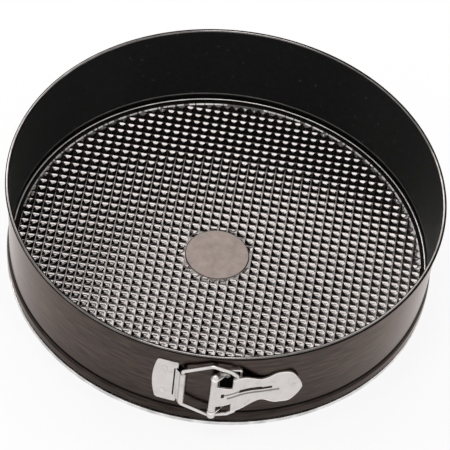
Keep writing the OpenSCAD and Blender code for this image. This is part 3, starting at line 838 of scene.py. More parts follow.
class PAN_OT_make_base(bpy.types.Operator):
    """Makes the base plate with its waffle field, smooth disc and rolled edge"""

    bl_idname = "pan.make_base"
    bl_label = "Make Base Plate"

    # BEAD is a painted highlight on the bead's crest and the dashes; RESIDUE is painted shade on the flat
    # border.
    COAT, BEAD, DISC, RESIDUE = range(4)
    HALFWAY = 0.5
    DASH_SHARE = 0.86
    FILLET_STEPS, DISC_STEPS = 3, 4
    BEAD_FILLET, BEAD_FOOT, BEAD_FROM, BEAD_STEPS, RUBBED_STEPS = 0.0004, 1.5, 165.0, 11, 9
    ROLL_TO, ROLL_STEPS, ROLL_INSET = -135.0, 12, 1.1
    DISC_CORE, DISC_EDGE, DISC_SLOPE, DISC_FOOT, DISC_FILLET = 0.5, 0.0001, 0.0006, 0.0001, 0.0002
    SMOOTH_DEGREES = 32.0
    JOIN_DISTANCE = 0.000002

    def half_cell(self, base):
        """Half the width of a cell between its ridges."""
        return (base.pitch - base.ridge) / 2.0

    def lines(self, base):
        """Places across one cell, from -1 to 1, closer together where the steel bends."""
        ahead = [base.pit_floor, self.HALFWAY, 1.0 - base.soft_edge, 1.0]
        return np.array([-place for place in reversed(ahead)] + ahead)

    def depth(self, base, place, room):
        """How far the sheet is pressed down, from 0 at a cell's softened edge to 1 in its middle."""
        inward = np.minimum(1.0 - place, room)
        soft = base.soft_edge / 2.0
        fall = np.where(inward < base.soft_edge, inward / 2.0, inward - soft)
        return np.clip(fall / (1.0 - base.pit_floor - soft), 0.0, 1.0)

    def field(self, base):
        """Plan points, pressed depths and faces of the embossed field."""
        cells = math.ceil(base.waffle_radius / base.pitch)
        lines = self.lines(base)
        half = self.half_cell(base)
        middles = np.arange(-cells, cells + 1) * base.pitch
        across = (middles[:, None] + half * lines).ravel()
        along = (middles[:, None] + half * lines + base.valley * (1.0 - np.abs(lines))).ravel()
        inside = np.tile(np.abs(lines), len(middles))
        x, y = np.meshgrid(across, along, indexing="ij")
        inside_x, inside_y = np.meshgrid(inside, inside, indexing="ij")
        spin_x, spin_y = math.cos(base.turn), math.sin(base.turn)
        x, y = x * spin_x - y * spin_y, x * spin_y + y * spin_x
        outside = np.hypot(x, y) - base.waffle_radius
        to_disc = np.hypot(x - base.disc_x, y - base.disc_y) - base.disc_radius
        room = np.minimum(-outside, to_disc) / half
        depth = self.depth(base, np.maximum(inside_x, inside_y), room)
        flat = (outside >= 0.0) | (to_disc <= 0.0)
        edge = np.arctan2(y, x)
        ring = np.arctan2(y - base.disc_y, x - base.disc_x)
        x = np.where(outside >= 0.0, base.waffle_radius * np.cos(edge), x)
        y = np.where(outside >= 0.0, base.waffle_radius * np.sin(edge), y)
        x = np.where(to_disc <= 0.0, base.disc_x + base.disc_radius * np.cos(ring), x)
        y = np.where(to_disc <= 0.0, base.disc_y + base.disc_radius * np.sin(ring), y)
        count = len(across)
        corners = np.array([
            (i * count + j, (i + 1) * count + j, (i + 1) * count + j + 1, i * count + j + 1)
            for i in range(count - 1) for j in range(count - 1)
        ])
        kept = corners[~flat.ravel()[corners].all(axis=1)]
        return x.ravel(), y.ravel(), depth.ravel(), kept, flat.ravel()

    def faces(self, kept, depth):
        """Splits each face of the field along the fold that runs through it."""
        made = []
        for a, b, c, d in kept.tolist():
            if abs(depth[a] - depth[c]) >= abs(depth[b] - depth[d]):
                made += [(a, b, c), (a, c, d)]
            else:
                made += [(a, b, d), (b, c, d)]
        return made

    def on_cell(self, base, turn):
        """Whether a direction meets the field's border in a cell and not on a ridge."""
        way = (math.cos(turn - base.turn), math.sin(turn - base.turn))
        cells = [part * base.waffle_radius / base.pitch for part in way]
        reach = self.half_cell(base) * self.DASH_SHARE
        return all(abs(cell - round(cell)) * base.pitch < reach for cell in cells)

    def rim_loop(self, kept, flat, x, y, outer, base):
        """Angles of the field's points on its outer or inner circle, in order."""
        radius = np.hypot(x, y)
        middle = (base.disc_radius + base.waffle_radius) / 2.0
        loop = [i for i in np.unique(kept).tolist() if flat[i] and (radius[i] > middle) == outer]
        hub_x, hub_y = (0.0, 0.0) if outer else (base.disc_x, base.disc_y)
        return sorted(math.atan2(y[i] - hub_y, x[i] - hub_x) for i in loop)

    def add_border(self, shape, base, turns, under):
        """The dashed step round the field, the flat border, the bead and the rolled edge; the flat border
        is painted shade, and the bead's crest and the dashes are painted highlights.
        """
        edge = base.edge_radius - base.roll_radius
        bead = base.edge_radius - base.bead_radius
        step_radius = base.waffle_radius + base.border_run
        step_height = base.floor_height + base.border_rise
        border = rounded([
            (step_radius, step_height, 0.0),
            (bead - base.bead_radius * self.BEAD_FOOT, step_height, self.BEAD_FILLET),
            (bead - base.bead_radius, base.bead_height, 0.0),
        ], self.FILLET_STEPS)
        first = len(border)
        border += arc((bead, base.bead_height), base.bead_radius, self.BEAD_FROM, 0.0, self.BEAD_STEPS)
        border += arc((edge, base.roll_height), base.roll_radius, 0.0, self.ROLL_TO, self.ROLL_STEPS)
        border += [(edge - base.roll_radius * self.ROLL_INSET, under), (base.waffle_radius, under)]
        last = first + self.RUBBED_STEPS
        # Painted shade on the flat border up to the bead, painted highlight on the bead's crest.
        coats = [
            self.RESIDUE if i < first else self.BEAD if first < i < last else self.COAT
            for i in range(len(border) - 1)
        ]
        turned(shape, border, turns, coats, full_turn=True)
        # Painted highlight on the step where it crosses a cell, which draws the dashes.
        dashes = {}
        for turn, ahead in zip(turns, turns[1:] + turns[:1]):
            dashes[turn] = self.BEAD if self.on_cell(base, (turn + ahead) / 2.0) else self.COAT
        rise = [(base.waffle_radius, base.floor_height), (step_radius, step_height)]
        turned(shape, rise, turns, lambda turn, _: dashes[turn], full_turn=True)

    def add_disc(self, shape, base, turns, height):
        """One face of the smooth disc, raised over the sheet."""
        hub_x, hub_y = base.disc_x, base.disc_y
        raised = height + base.disc_rise
        core = base.disc_radius * self.DISC_CORE
        rings = rounded([
            (base.disc_radius, height, 0.0),
            (base.disc_radius - self.DISC_EDGE, height, self.DISC_FOOT),
            (base.disc_radius - self.DISC_SLOPE, raised, self.DISC_FILLET),
            (core, raised, 0.0),
        ], self.DISC_STEPS)
        turned(shape, rings, turns, self.DISC, full_turn=True, centre=(hub_x, hub_y))
        fan = [(hub_x, hub_y, raised)]
        fan += [(hub_x + core * math.cos(turn), hub_y + core * math.sin(turn), raised) for turn in turns]
        count = len(turns)
        shape.add(fan, [(0, 1 + k, 1 + (k + 1) % count) for k in range(count)], self.DISC)

    def execute(self, context):
        base = context.scene.pan_base
        x, y, depth, kept, flat = self.field(base)
        used = np.unique(kept)
        number = {old: new for new, old in enumerate(used.tolist())}
        faces = [tuple(number[i] for i in face) for face in self.faces(kept, depth)]
        shape = Shape()
        top = base.floor_height - depth * base.cell_depth
        shape.add([(x[i], y[i], top[i]) for i in used], faces)
        low = top - base.thickness
        shape.add([(x[i], y[i], low[i]) for i in used], [tuple(reversed(face)) for face in faces])
        under = base.floor_height - base.thickness
        self.add_border(shape, base, self.rim_loop(kept, flat, x, y, True, base), under)
        inner = self.rim_loop(kept, flat, x, y, False, base)
        for height in (base.floor_height, under):
            self.add_disc(shape, base, inner, height)
        coats = [
            grey_coat("grey_base_coat", base.coat),
            # Painted highlight on the bead and the dashes.
            rubbed_metal("rubbed_bead_coat", base.bead, gloss=(0.35, 0.5)),
            grey_coat("grey_disc_coat", base.disc),
            # Painted shade on the flat border.
            baked_residue("baked_border_residue", context.scene.pan_band.residue),
        ]
        piece = make_piece(
            "base_plate_waffle", shape, coats, "base", "base_plate",
            smooth_degrees=self.SMOOTH_DEGREES,
        )
        weld = piece.modifiers.new("Joined sheet", "WELD")
        weld.merge_threshold = self.JOIN_DISTANCE
        return {"FINISHED"}


class PAN_OT_make_catch_plate(bpy.types.Operator):
    """Makes the catch plate with its bowed edge and rolled knuckle"""

    bl_idname = "pan.make_catch_plate"
    bl_label = "Make Catch Plate"

    # CREASE is painted shade in the fold between the plate and its knuckle.
    STEEL, CREASE = range(2)
    COLUMNS, ROWS, KNUCKLE_STEPS = 12, 18, 30
    CREASE_WIDTH = 0.0011
    NEAR_CUT = 0.4
    FOLD_BACK, FOOT_RISE, FOOT_OUT, FOOT_IN = 1.6, 0.2, 0.5, 0.4
    KNUCKLE_TURN, KNUCKLE_JOINT = 330.0, 0.1
    NOTCH_X, NOTCH_Y = 0.0001, 0.0002
    PRESSED_EDGE = 0.00018

    def knuckle_outline(self, clasp, near, fold_x):
        """Plan of the sheet that leaves the plate and rolls up round the bail's wire."""
        knuckle, _, _ = clasp_places()
        bore = clasp.knuckle_radius - clasp.sheet
        foot = Vector((fold_x, -band_radius(clasp.middle) - clasp.sheet * self.FOOT_RISE))
        way = (knuckle - foot).normalized()
        side = Vector((way.y, -way.x))
        start = math.degrees(math.atan2(side.y, side.x))
        end = start + self.KNUCKLE_TURN
        face = on_wall(near, clasp.middle, clasp.seat_gap + clasp.sheet)[1]
        notch = Vector((near + self.NOTCH_X, face)) + Vector((self.NOTCH_X, -self.NOTCH_Y))
        joint = knuckle + side * bore - way * clasp.knuckle_radius * self.KNUCKLE_JOINT
        outline = [tuple(foot + side * clasp.sheet * self.FOOT_OUT), tuple(notch)]
        outline += arc(knuckle, clasp.knuckle_radius, start, end, self.KNUCKLE_STEPS)
        outline += arc(knuckle, bore, end, start, self.KNUCKLE_STEPS)
        return outline + [tuple(joint), tuple(foot - side * clasp.sheet * self.FOOT_IN)]

    def execute(self, context):
        clasp = context.scene.pan_clasp
        near = -(clasp.catch_x + clasp.catch_reach)
        half = clasp.catch_height / 2.0
        rolled = clasp.knuckle_height / 2.0
        bow = (half * half + clasp.catch_bow ** 2) / (2.0 * clasp.catch_bow)
        fold_x = near - clasp.sheet * self.FOLD_BACK
        heights = plate_heights(clasp, half, self.ROWS)
        heights = sorted(heights + [clasp.middle - rolled, clasp.middle + rolled])

        def columns(z):
            """Places across the plate at a height, with a narrow column for the crease."""
            off = abs(z - clasp.middle)
            far = near - clasp.catch_width + bow - math.sqrt(bow * bow - off * off)
            cut = corner_cut(clasp, z, half)
            plain = even_steps(far + cut, fold_x - self.CREASE_WIDTH, self.COLUMNS)
            return plain + [fold_x, near - cut * self.NEAR_CUT]

        def plate_finish(i, j):
            """Painted shade in the crease between the plate and its knuckle."""
            off = abs((heights[i] + heights[i + 1]) / 2.0 - clasp.middle)
            return self.CREASE if j == self.COLUMNS and off < rolled else self.STEEL

        shape = Shape()
        wall_plate(shape, columns, heights, clasp.sheet, plate_finish)
        outline = self.knuckle_outline(clasp, near, fold_x)
        upright_block(shape, outline, clasp.middle - rolled, clasp.middle + rolled)
        steels = [
            plated_steel("plated_catch_steel", clasp.steel, GRAIN_UPRIGHT),
            # Painted shade in the crease.
            baked_residue("creased_catch_steel", clasp.crease),
        ]
        bevel = self.PRESSED_EDGE
        make_piece("catch_plate_sheet", shape, steels, "ring_left", "catch_plate", bevel)
        return {"FINISHED"}


class PAN_OT_make_rivets(bpy.types.Operator):
    """Makes the domed rivets of the catch plate and of the lever's bracket"""

    bl_idname = "pan.make_rivets"
    bl_label = "Make Rivets"

    HAIR = 0.00002
    SHANK = 0.55
    DOME_WIDTH, DOME_FOOT, DOME_FROM, DOME_STEPS = 0.94, 0.25, 0.15, 8
    HEAD_EDGE = 0.12
    TAIL_GAP, TAIL_WIDTH, TAIL_END = 0.00004, 0.8, 0.68
    TAIL_EDGE, TAIL_RISE = 0.0003, 0.0004
    ROUND_STEPS = 28

    def rivet(self, shape, x, z, clasp, band):
        """One rivet: low dome outside, shank through both sheets and flattened end inside."""
        lift = clasp.seat_gap + clasp.sheet
        head, rise = clasp.rivet_radius, clasp.rivet_rise
        shank = head * self.SHANK
        foot, cap = rise * self.DOME_FOOT, rise * (1.0 - self.DOME_FOOT)
        inner = -band.thickness - self.TAIL_GAP
        tail = head * self.TAIL_WIDTH
        dome = [(self.HAIR, lift + rise)]
        for turn in even_steps(self.DOME_FROM, math.pi / 2, self.DOME_STEPS):
            dome.append((head * self.DOME_WIDTH * math.sin(turn), lift + foot + cap * math.cos(turn)))
        dome += [(head, lift + rise * self.HEAD_EDGE), (head, lift + self.HAIR), (shank, lift + self.HAIR)]
        dome += [(shank, inner), (tail, inner), (tail, inner - self.TAIL_EDGE)]
        dome += [(head * self.TAIL_END, inner - self.TAIL_RISE), (self.HAIR, inner - self.TAIL_RISE)]
        turns = full_turns(self.ROUND_STEPS)
        radius = band_radius(z)
        lean = math.atan(band.wall_draw / (band.wall_top - band.groove_top))
        spin = Matrix.Rotation(math.asin(x / radius), 3, "Z")
        tilt = Matrix.Rotation(math.pi / 2 + lean, 3, "X")
        seat = Vector((0.0, -radius, z))
        points = [
            spin @ (seat + tilt @ Vector((r * math.cos(turn), r * math.sin(turn), height)))
            for turn in turns for r, height in dome
        ]
        shape.add(points, ring_faces(len(turns), len(dome), close_rows=True))

    def execute(self, context):
        clasp = context.scene.pan_clasp
        band = context.scene.pan_band
        steel = plated_steel("plated_rivet_steel", clasp.wire, GRAIN_EVEN)
        for name, node, body in (
            ("catch_rivets", "catch_plate_rivets", "ring_left"),
            ("bracket_rivets", "lever_bracket_rivets", "ring_right"),
        ):
            low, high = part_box(node)
            shape = Shape()
            for z in (low.z + clasp.rivet_radius, high.z - clasp.rivet_radius):
                self.rivet(shape, (low.x + high.x) / 2.0, z, clasp, band)
            make_piece(name, shape, [steel], body, node)
        return {"FINISHED"}


class PAN_OT_make_bail(bpy.types.Operator):
    """Makes the tension bail, a bent wire loop hooked into the lever"""

    bl_idname = "pan.make_bail"
    bl_label = "Make Tension Bail"

    LEG_HALF = 0.0145
    PEAK_REACH, PEAK_HALF = 0.0168, 0.022
    BEND_BACK, BEND_HALF = 0.004, 0.019
    HOOK_HALF, HOOK_END = 0.0156, 0.0118
    BEND_STEPS, WIRE_SIDES = 8, 20

    def execute(self, context):
        clasp = context.scene.pan_clasp
        knuckle, _, bail_end = clasp_places()
        reach = bail_end.x - knuckle.x
        # Each corner is its distance from the knuckle, its height over the middle and its bend.
        upper = [
            (0.0, self.LEG_HALF, 0.0021),
            (self.PEAK_REACH, self.PEAK_HALF, 0.004),
            (reach - self.BEND_BACK, self.BEND_HALF, 0.003),
            (reach, self.HOOK_HALF, 0.0018),
            (reach, self.HOOK_END, 0.0),
        ]
        lower = [(x, -z, bend) for x, z, bend in reversed(upper)]
        flat = rounded(lower + upper, self.BEND_STEPS)
        path = [(knuckle.x + x, knuckle.y, clasp.middle + z) for x, z in flat]
        shape = Shape()
        round_wire(shape, path, clasp.wire_radius, self.WIRE_SIDES)
        wire = plated_steel("plated_bail_wire", clasp.wire, GRAIN_EVEN)
        make_piece("tension_bail_wire", shape, [wire], "bail", "tension_bail")
        return {"FINISHED"}


class PAN_OT_make_lever(bpy.types.Operator):
    """Makes the clamp lever: rolled root, pressed groove, flanges and thumb tab"""

    bl_idname = "pan.make_lever"
    bl_label = "Make Clamp Lever"

    # CREASE and STAIN are painted shade in the pressed groove, dark and faint; POLISH is a painted
    # highlight along both edges.
    STEEL, CREASE, STAIN, POLISH = range(4)
    # Each stretch of the spine is its run, its slope in degrees and the bend at its end.
    STRETCHES = ((0.009, 4.0, 0.014), (0.0216, 27.0, 0.03), (0.012, 19.0, 0.04), (0.0112, 12.0, 0.0))
    BEND_STEPS, STATIONS = 8, 60
    SHOULDER, SHOULDER_RUN, SHOULDER_STEP = 0.0106, 0.003, 0.00003
    NECK_DRAW = 0.0014
    TAB_SWELL, TIP_ROUND, TIP_TAPER, TIP_BLEND, LEAST_HALF = 0.0105, 0.009, 0.9, 0.0016, 0.0008
    LIFT_LEAD, LIFT_FADE = 0.002, 0.008
    GROOVE_START, GROOVE_END, GROOVE_FLAT, GROOVE_SIDE = 0.0045, 0.0012, 0.45, 0.6
    GROOVE_ROWS = (0.0, 0.45, 0.8, 1.0, 1.35, 1.8, 2.2)
    EDGE_ROWS = (0.25, 0.5, 0.75, 0.92, 1.0)
    EDGE_WIDTH, EDGE_DROP = 0.0014, 0.0003
    GROOVE_SQUEEZE = 0.6
    # Each mark is its start and end along the groove, its lowest and highest row, and its finish; every
    # mark is painted shade.
    MARKS = (
        (0.0, 0.07, -2, 4, CREASE),
        (0.07, 0.33, 0, 3, STAIN),
        (0.33, 0.75, -1, 4, CREASE),
        (0.75, 0.92, -1, 3, CREASE),
        (0.12, 1.05, -6, -4, STAIN),
    )
    ROOT_EDGE, ROOT_STEPS = 0.0003, 32
    FLANGE_RADIUS, FLANGE_SIDE, FLANGE_RISE, FLANGE_STEPS = 0.0023, 0.0012, 0.0016, 14
    # Tints of the groove's faint painted shade and of the edges' painted highlight.
    STAIN_TINT, POLISH_TINT = 0.34, 1.3
    PRESSED_EDGE = 0.00016

    def spine(self, clasp, pin):
        """Middle line of the lever's sheet seen from above, as points and their distances along it."""
        here = pin + Vector((0.0, -(clasp.root_radius - clasp.lever_sheet / 2.0)))
        corners = [(here.x, here.y, 0.0)]
        for run, slope, bend in self.STRETCHES:
            here = here + Vector((math.cos(math.radians(slope)), math.sin(math.radians(slope)))) * run
            corners.append((here.x, here.y, bend))
        coarse = [Vector(p) for p in rounded(corners, self.BEND_STEPS)]
        steps = [0.0]
        for a, b in zip(coarse, coarse[1:]):
            steps.append(steps[-1] + (b - a).length)
        return coarse, steps

    def half_width(self, clasp, x, pin, tip):
        """Half width of the lever at a distance along X."""
        waist = tip - clasp.tab_length
        shoulder = pin.x + self.SHOULDER
        if x < shoulder:
            return clasp.neck_half - self.NECK_DRAW * (x - pin.x) / (shoulder - pin.x)
        if x > waist:
            spread = clasp.tab_half - clasp.waist_half
            swell = clasp.waist_half + spread * ease((x - waist) / self.TAB_SWELL)
            back = tip - x
            nose = math.sqrt(self.TIP_ROUND * back) + back * self.TIP_TAPER
            return smooth_least(nose, swell, self.TIP_BLEND)
        fall = ease((x - shoulder - self.SHOULDER_RUN) / (waist - shoulder - self.SHOULDER_RUN))
        return clasp.shoulder_half + (clasp.waist_half - clasp.shoulder_half) * fall

    def edges(self, clasp, x, pin, tip):
        """Distances from the lever's middle down to its lower edge and up to its upper edge."""
        half = max(self.half_width(clasp, x, pin, tip), self.LEAST_HALF)
        shoulder = pin.x + self.SHOULDER
        if x < shoulder:
            return half - clasp.neck_taper * (x - pin.x) / (shoulder - pin.x), half
        past = ease((x - tip + clasp.tab_length + self.LIFT_LEAD) / self.LIFT_FADE)
        swell = math.sin(math.pi * min(1.0, (x - shoulder) / (tip - clasp.tab_length - shoulder)))
        return half, half + clasp.edge_lift * (1.0 - past) * (1.0 + swell)

    def stations(self, coarse, steps, shoulder):
        """Points along the spine with their outward normals, two close together at the shoulder."""
        places = []
        for distance in even_steps(0.0, steps[-1], self.STATIONS):
            k = min(max(1, sum(1 for step in steps if step < distance)), len(steps) - 1)
            part = (distance - steps[k - 1]) / (steps[k] - steps[k - 1])
            way = (coarse[k] - coarse[k - 1]).normalized()
            places.append((coarse[k - 1].lerp(coarse[k], part), Vector((way.y, -way.x))))
        made = []
        hair = Vector((self.SHOULDER_STEP, 0.0))
        for (here, normal), (ahead, _) in zip(places, places[1:]):
            made.append((here, normal))
            if here.x < shoulder <= ahead.x:
                edge = here.lerp(ahead, (shoulder - here.x) / (ahead.x - here.x))
                made += [(edge - hair, normal), (edge + hair, normal)]
        made.append(places[-1])
        return sorted(made, key=lambda item: item[0].x)

    def crossing(self, clasp, place, normal, low, high, first):
        """Outer and inner points of the sheet across one station, from its lower to its upper edge."""
        groove = clasp.groove_width / 2.0
        rows = [groove * part for part in self.GROOVE_ROWS]
        squeeze = min(1.0, self.GROOVE_SQUEEZE * low / rows[-1])
        along = min(max((place.x - first) / clasp.groove_length, 0.0), 1.0)
        arch = math.sin(math.pi * min(1.0, along / clasp.groove_span))
        lift = (clasp.groove_lift + clasp.groove_arch * arch) * squeeze
        upper = [lift + row * squeeze for row in rows]
        lower = [lift - row * squeeze for row in rows]
        upper += [upper[-1] + (high - upper[-1]) * part for part in self.EDGE_ROWS]
        lower += [lower[-1] - (low + lower[-1]) * part for part in self.EDGE_ROWS]
        into = (place.x - first) / self.GROOVE_END
        out = (first + clasp.groove_length - place.x) / self.GROOVE_END
        lengthwise = ease(into) * ease(out)
        half = clasp.lever_sheet / 2.0
        top = []
        bottom = []
        for height in lower[:0:-1] + upper:
            side = abs(height - lift) - groove * self.GROOVE_FLAT
            crosswise = 1.0 - ease(side / (groove * self.GROOVE_SIDE))
            sink = clasp.groove_depth * lengthwise * crosswise
            edge = ease(1.0 - min(high - height, height + low) / self.EDGE_WIDTH) * self.EDGE_DROP
            face = place + normal * (half - sink - edge)
            back = place - normal * (half + sink + edge)
            top.append((face.x, face.y, clasp.middle + height))
            bottom.append((back.x, back.y, clasp.middle + height))
        return top, bottom

    def add_root(self, shape, clasp, pin):
        """The rolled root that turns on the pin."""
        bore, radius, height = clasp.root_bore, clasp.root_radius, clasp.root_height
        edge = self.ROOT_EDGE
        ring = [(bore, 0.0), (radius - edge, 0.0), (radius, edge)]
        ring += [(radius, height - edge), (radius - edge, height), (bore, height)]
        low = clasp.middle - height / 2.0
        section = [(r, low + z) for r, z in ring]
        turns = full_turns(self.ROOT_STEPS)
        turned(shape, section, turns, self.STEEL, closed_profile=True, full_turn=True, centre=tuple(pin))

    def add_flanges(self, shape, clasp, bail_end, stations):
        """The two flanges at the shoulders that take the bail's hooked ends."""
        flange = self.FLANGE_RADIUS
        near = [place for place, _ in stations if abs(place.x - bail_end.x) < self.FLANGE_SIDE]
        sheet_y = min(place.y for place in near)
        outline = arc(bail_end, flange, 0.0, 180.0, self.FLANGE_STEPS)
        outline += [(bail_end.x - flange, sheet_y), (bail_end.x + flange, sheet_y + self.FLANGE_RISE)]
        reach = clasp.shoulder_half
        for z in (clasp.middle - reach, clasp.middle + reach - clasp.lever_sheet):
            upright_block(shape, outline, z, z + clasp.lever_sheet)

    def execute(self, context):
        clasp = context.scene.pan_clasp
        _, pin, bail_end = clasp_places()
        coarse, steps = self.spine(clasp, pin)
        tip = coarse[-1].x
        stations = self.stations(coarse, steps, pin.x + self.SHOULDER)
        first = pin.x + self.GROOVE_START
        outer = []
        inner = []
        for place, normal in stations:
            low, high = self.edges(clasp, place.x, pin, tip)
            top, bottom = self.crossing(clasp, place, normal, low, high, first)
            outer.append(top)
            inner.append(bottom)
        middle = len(self.GROOVE_ROWS) + len(self.EDGE_ROWS) - 1

        def lever_finish(i, j):
            """Painted highlight along both edges; painted shade in the groove, dark above and faint below.
            """
            if j in (0, 2 * middle - 1):
                return self.POLISH
            x = (stations[i][0].x + stations[i + 1][0].x) / 2.0
            along = (x - first) / clasp.groove_length
            for start, end, low, high, finish in self.MARKS:
                if start <= along < end and low <= j - middle <= high:
                    return finish
            return self.STEEL

        shape = Shape()
        bent_sheet(shape, outer, inner, face_finish=lever_finish)
        self.add_root(shape, clasp, pin)
        self.add_flanges(shape, clasp, bail_end, stations)
        steels = [
            plated_steel("plated_lever_steel", clasp.steel, GRAIN_ALONG),
            # Painted shade in the groove, dark and faint.
            baked_residue("creased_lever_steel", clasp.crease),
            plated_steel("stained_lever_steel", tinted(clasp.steel, self.STAIN_TINT), GRAIN_ALONG),
            # Painted highlight along the lever's edges.
            plated_steel("polished_lever_steel", tinted(clasp.steel, self.POLISH_TINT), GRAIN_ALONG),
        ]
        bevel = self.PRESSED_EDGE
        make_piece("clamp_lever_sheet", shape, steels, "lever", "clamp_lever", bevel)
        return {"FINISHED"}


class PAN_OT_make_pivot_pin(bpy.types.Operator):
    """Makes the lever's pivot pin with its domed upper head and its lower knob"""

    bl_idname = "pan.make_pivot_pin"
    bl_label = "Make Pivot Pin"

    HEAD, SHANK = 0.0024, 0.56
    DOME_FROM, DOME_STEPS = 0.02, 9
    KNOB, KNOB_TOP, KNOB_EDGE = 1.15, 0.85, 0.0005
    ROUND_STEPS = 32

    def execute(self, context):
        clasp = context.scene.pan_clasp
        _, pin, _ = clasp_places()
        low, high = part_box("lever_pivot_pin")
        radius = (high.x - low.x) / 2.0
        knob = radius * self.KNOB
        turns = even_steps(self.DOME_FROM, math.pi / 2, self.DOME_STEPS)
        dome = [(radius * math.sin(turn), math.cos(turn) * self.HEAD) for turn in turns]
        neck = low.z + self.HEAD
        foot = low.z + self.HEAD / 2.0 - clasp.pin_drop
        profile = [(r, high.z - self.HEAD + z) for r, z in dome]
        profile += [(radius * self.SHANK, high.z - self.HEAD), (radius * self.SHANK, neck)]
        profile += [(knob * self.KNOB_TOP, neck), (knob, neck - self.KNOB_EDGE)]
        profile += [(knob / radius * r, foot - z / 2.0) for r, z in reversed(dome)]
        shape = Shape()
        turned(shape, profile, full_turns(self.ROUND_STEPS), full_turn=True, centre=tuple(pin))
        steel = plated_steel("plated_pin_steel", clasp.wire, GRAIN_EVEN)
        make_piece("pivot_pin", shape, [steel], "ring_right", "lever_pivot_pin")
        return {"FINISHED"}


class PAN_OT_make_bracket(bpy.types.Operator):
    """Makes the lever's bracket: a plate on the band with two ears round the pin"""

    bl_idname = "pan.make_bracket"
    bl_label = "Make Lever Bracket"

    # BLACK is painted shade over the face, where the lever shades the plate; BRIGHT is a painted highlight
    # on the upper edge, the far corner, the plate's rim, the lip, the ears and the pressed edges.
    BLACK, BRIGHT = range(2)
    COLUMNS, ROWS, RUBBED_ROWS = 10, 14, 4
    LIP_CORNER = 0.3
    EAR_GAP, EAR_FROM, EAR_TO, EAR_STEPS = 0.0002, 130.0, 305.0, 22
    FOOT_WIDTH, FOOT_OUT, FOOT_IN, FOOT_INSET = 2.0, 0.0004, 0.0006, 0.0003
    BRIGHT_TINT = 1.4
    PRESSED_EDGE = 0.00016

    def add_lip(self, shape, clasp, low_x, high_x, half):
        """The rolled lip along the plate's upper edge and down its far edge, in the painted highlight."""
        lip = clasp.bracket_lip
        far, peak = high_x - lip, clasp.middle + half - lip
        cut = PLATE_CORNER * self.LIP_CORNER
        edge = [
            (far, peak - clasp.bracket_lip_drop),
            (far, peak - PLATE_CORNER),
            (far - cut, peak - cut),
            (high_x - PLATE_CORNER, peak),
            (low_x + PLATE_CORNER, peak),
        ]
        path = [on_wall(x, z, clasp.seat_gap + clasp.sheet) for x, z in edge]
        round_wire(shape, path, lip, finish=self.BRIGHT)

    def add_ear(self, shape, clasp, pin, side, low_x):
        """One ear, above or below the lever's root, from the plate out round the pin, in the painted
        highlight.
        """
        z = clasp.middle + side * (clasp.root_height / 2.0 + self.EAR_GAP)
        low = z if side > 0.0 else z - clasp.ear_thickness
        foot_x = low_x + clasp.ear_radius * self.FOOT_WIDTH
        foot_y = -band_radius(low + clasp.ear_thickness) - clasp.seat_gap
        outline = arc(pin, clasp.ear_radius, self.EAR_FROM, self.EAR_TO, self.EAR_STEPS)
        outline += [(foot_x, foot_y - self.FOOT_OUT), (foot_x, foot_y + self.FOOT_IN)]
        outline += [(low_x + self.FOOT_INSET, foot_y)]
        upright_block(shape, outline, low, low + clasp.ear_thickness, self.BRIGHT)

    def execute(self, context):
        clasp = context.scene.pan_clasp
        _, pin, _ = clasp_places()
        high_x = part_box("lever_bracket")[1].x
        low_x = high_x - clasp.bracket_width
        half = clasp.bracket_height / 2.0
        heights = plate_heights(clasp, half, self.ROWS)
        upper = len(heights) - len(PLATE_ENDS)

        def columns(z):
            """Places across the plate at a height."""
            cut = corner_cut(clasp, z, half)
            return even_steps(low_x + cut, high_x - cut, self.COLUMNS)

        def bracket_finish(i, j):
            """Painted highlight along the upper edge and the upper far corner; painted shade over the rest
            of the face.
            """
            at_corner = j == self.COLUMNS - 1 and i >= upper - self.RUBBED_ROWS
            return self.BRIGHT if i >= upper or at_corner else self.BLACK

        shape = Shape()
        wall_plate(shape, columns, heights, clasp.sheet, bracket_finish, self.BRIGHT)
        self.add_lip(shape, clasp, low_x, high_x, half)
        for side in (-1.0, 1.0):
            self.add_ear(shape, clasp, pin, side, low_x)
        steels = [
            # Painted shade over the bracket's face.
            baked_residue("blackened_bracket_steel", clasp.bracket),
            # Painted highlight: a brightened copy of the plated steel.
            plated_steel("plated_bracket_steel", tinted(clasp.steel, self.BRIGHT_TINT), GRAIN_UPRIGHT),
        ]
        piece = make_piece(
            "lever_bracket_sheet", shape, steels, "ring_right", "lever_bracket",
            self.PRESSED_EDGE,
        )
        # The pressed edges take the painted highlight too.
        piece.modifiers["Pressed edges"].material = self.BRIGHT
        return {"FINISHED"}


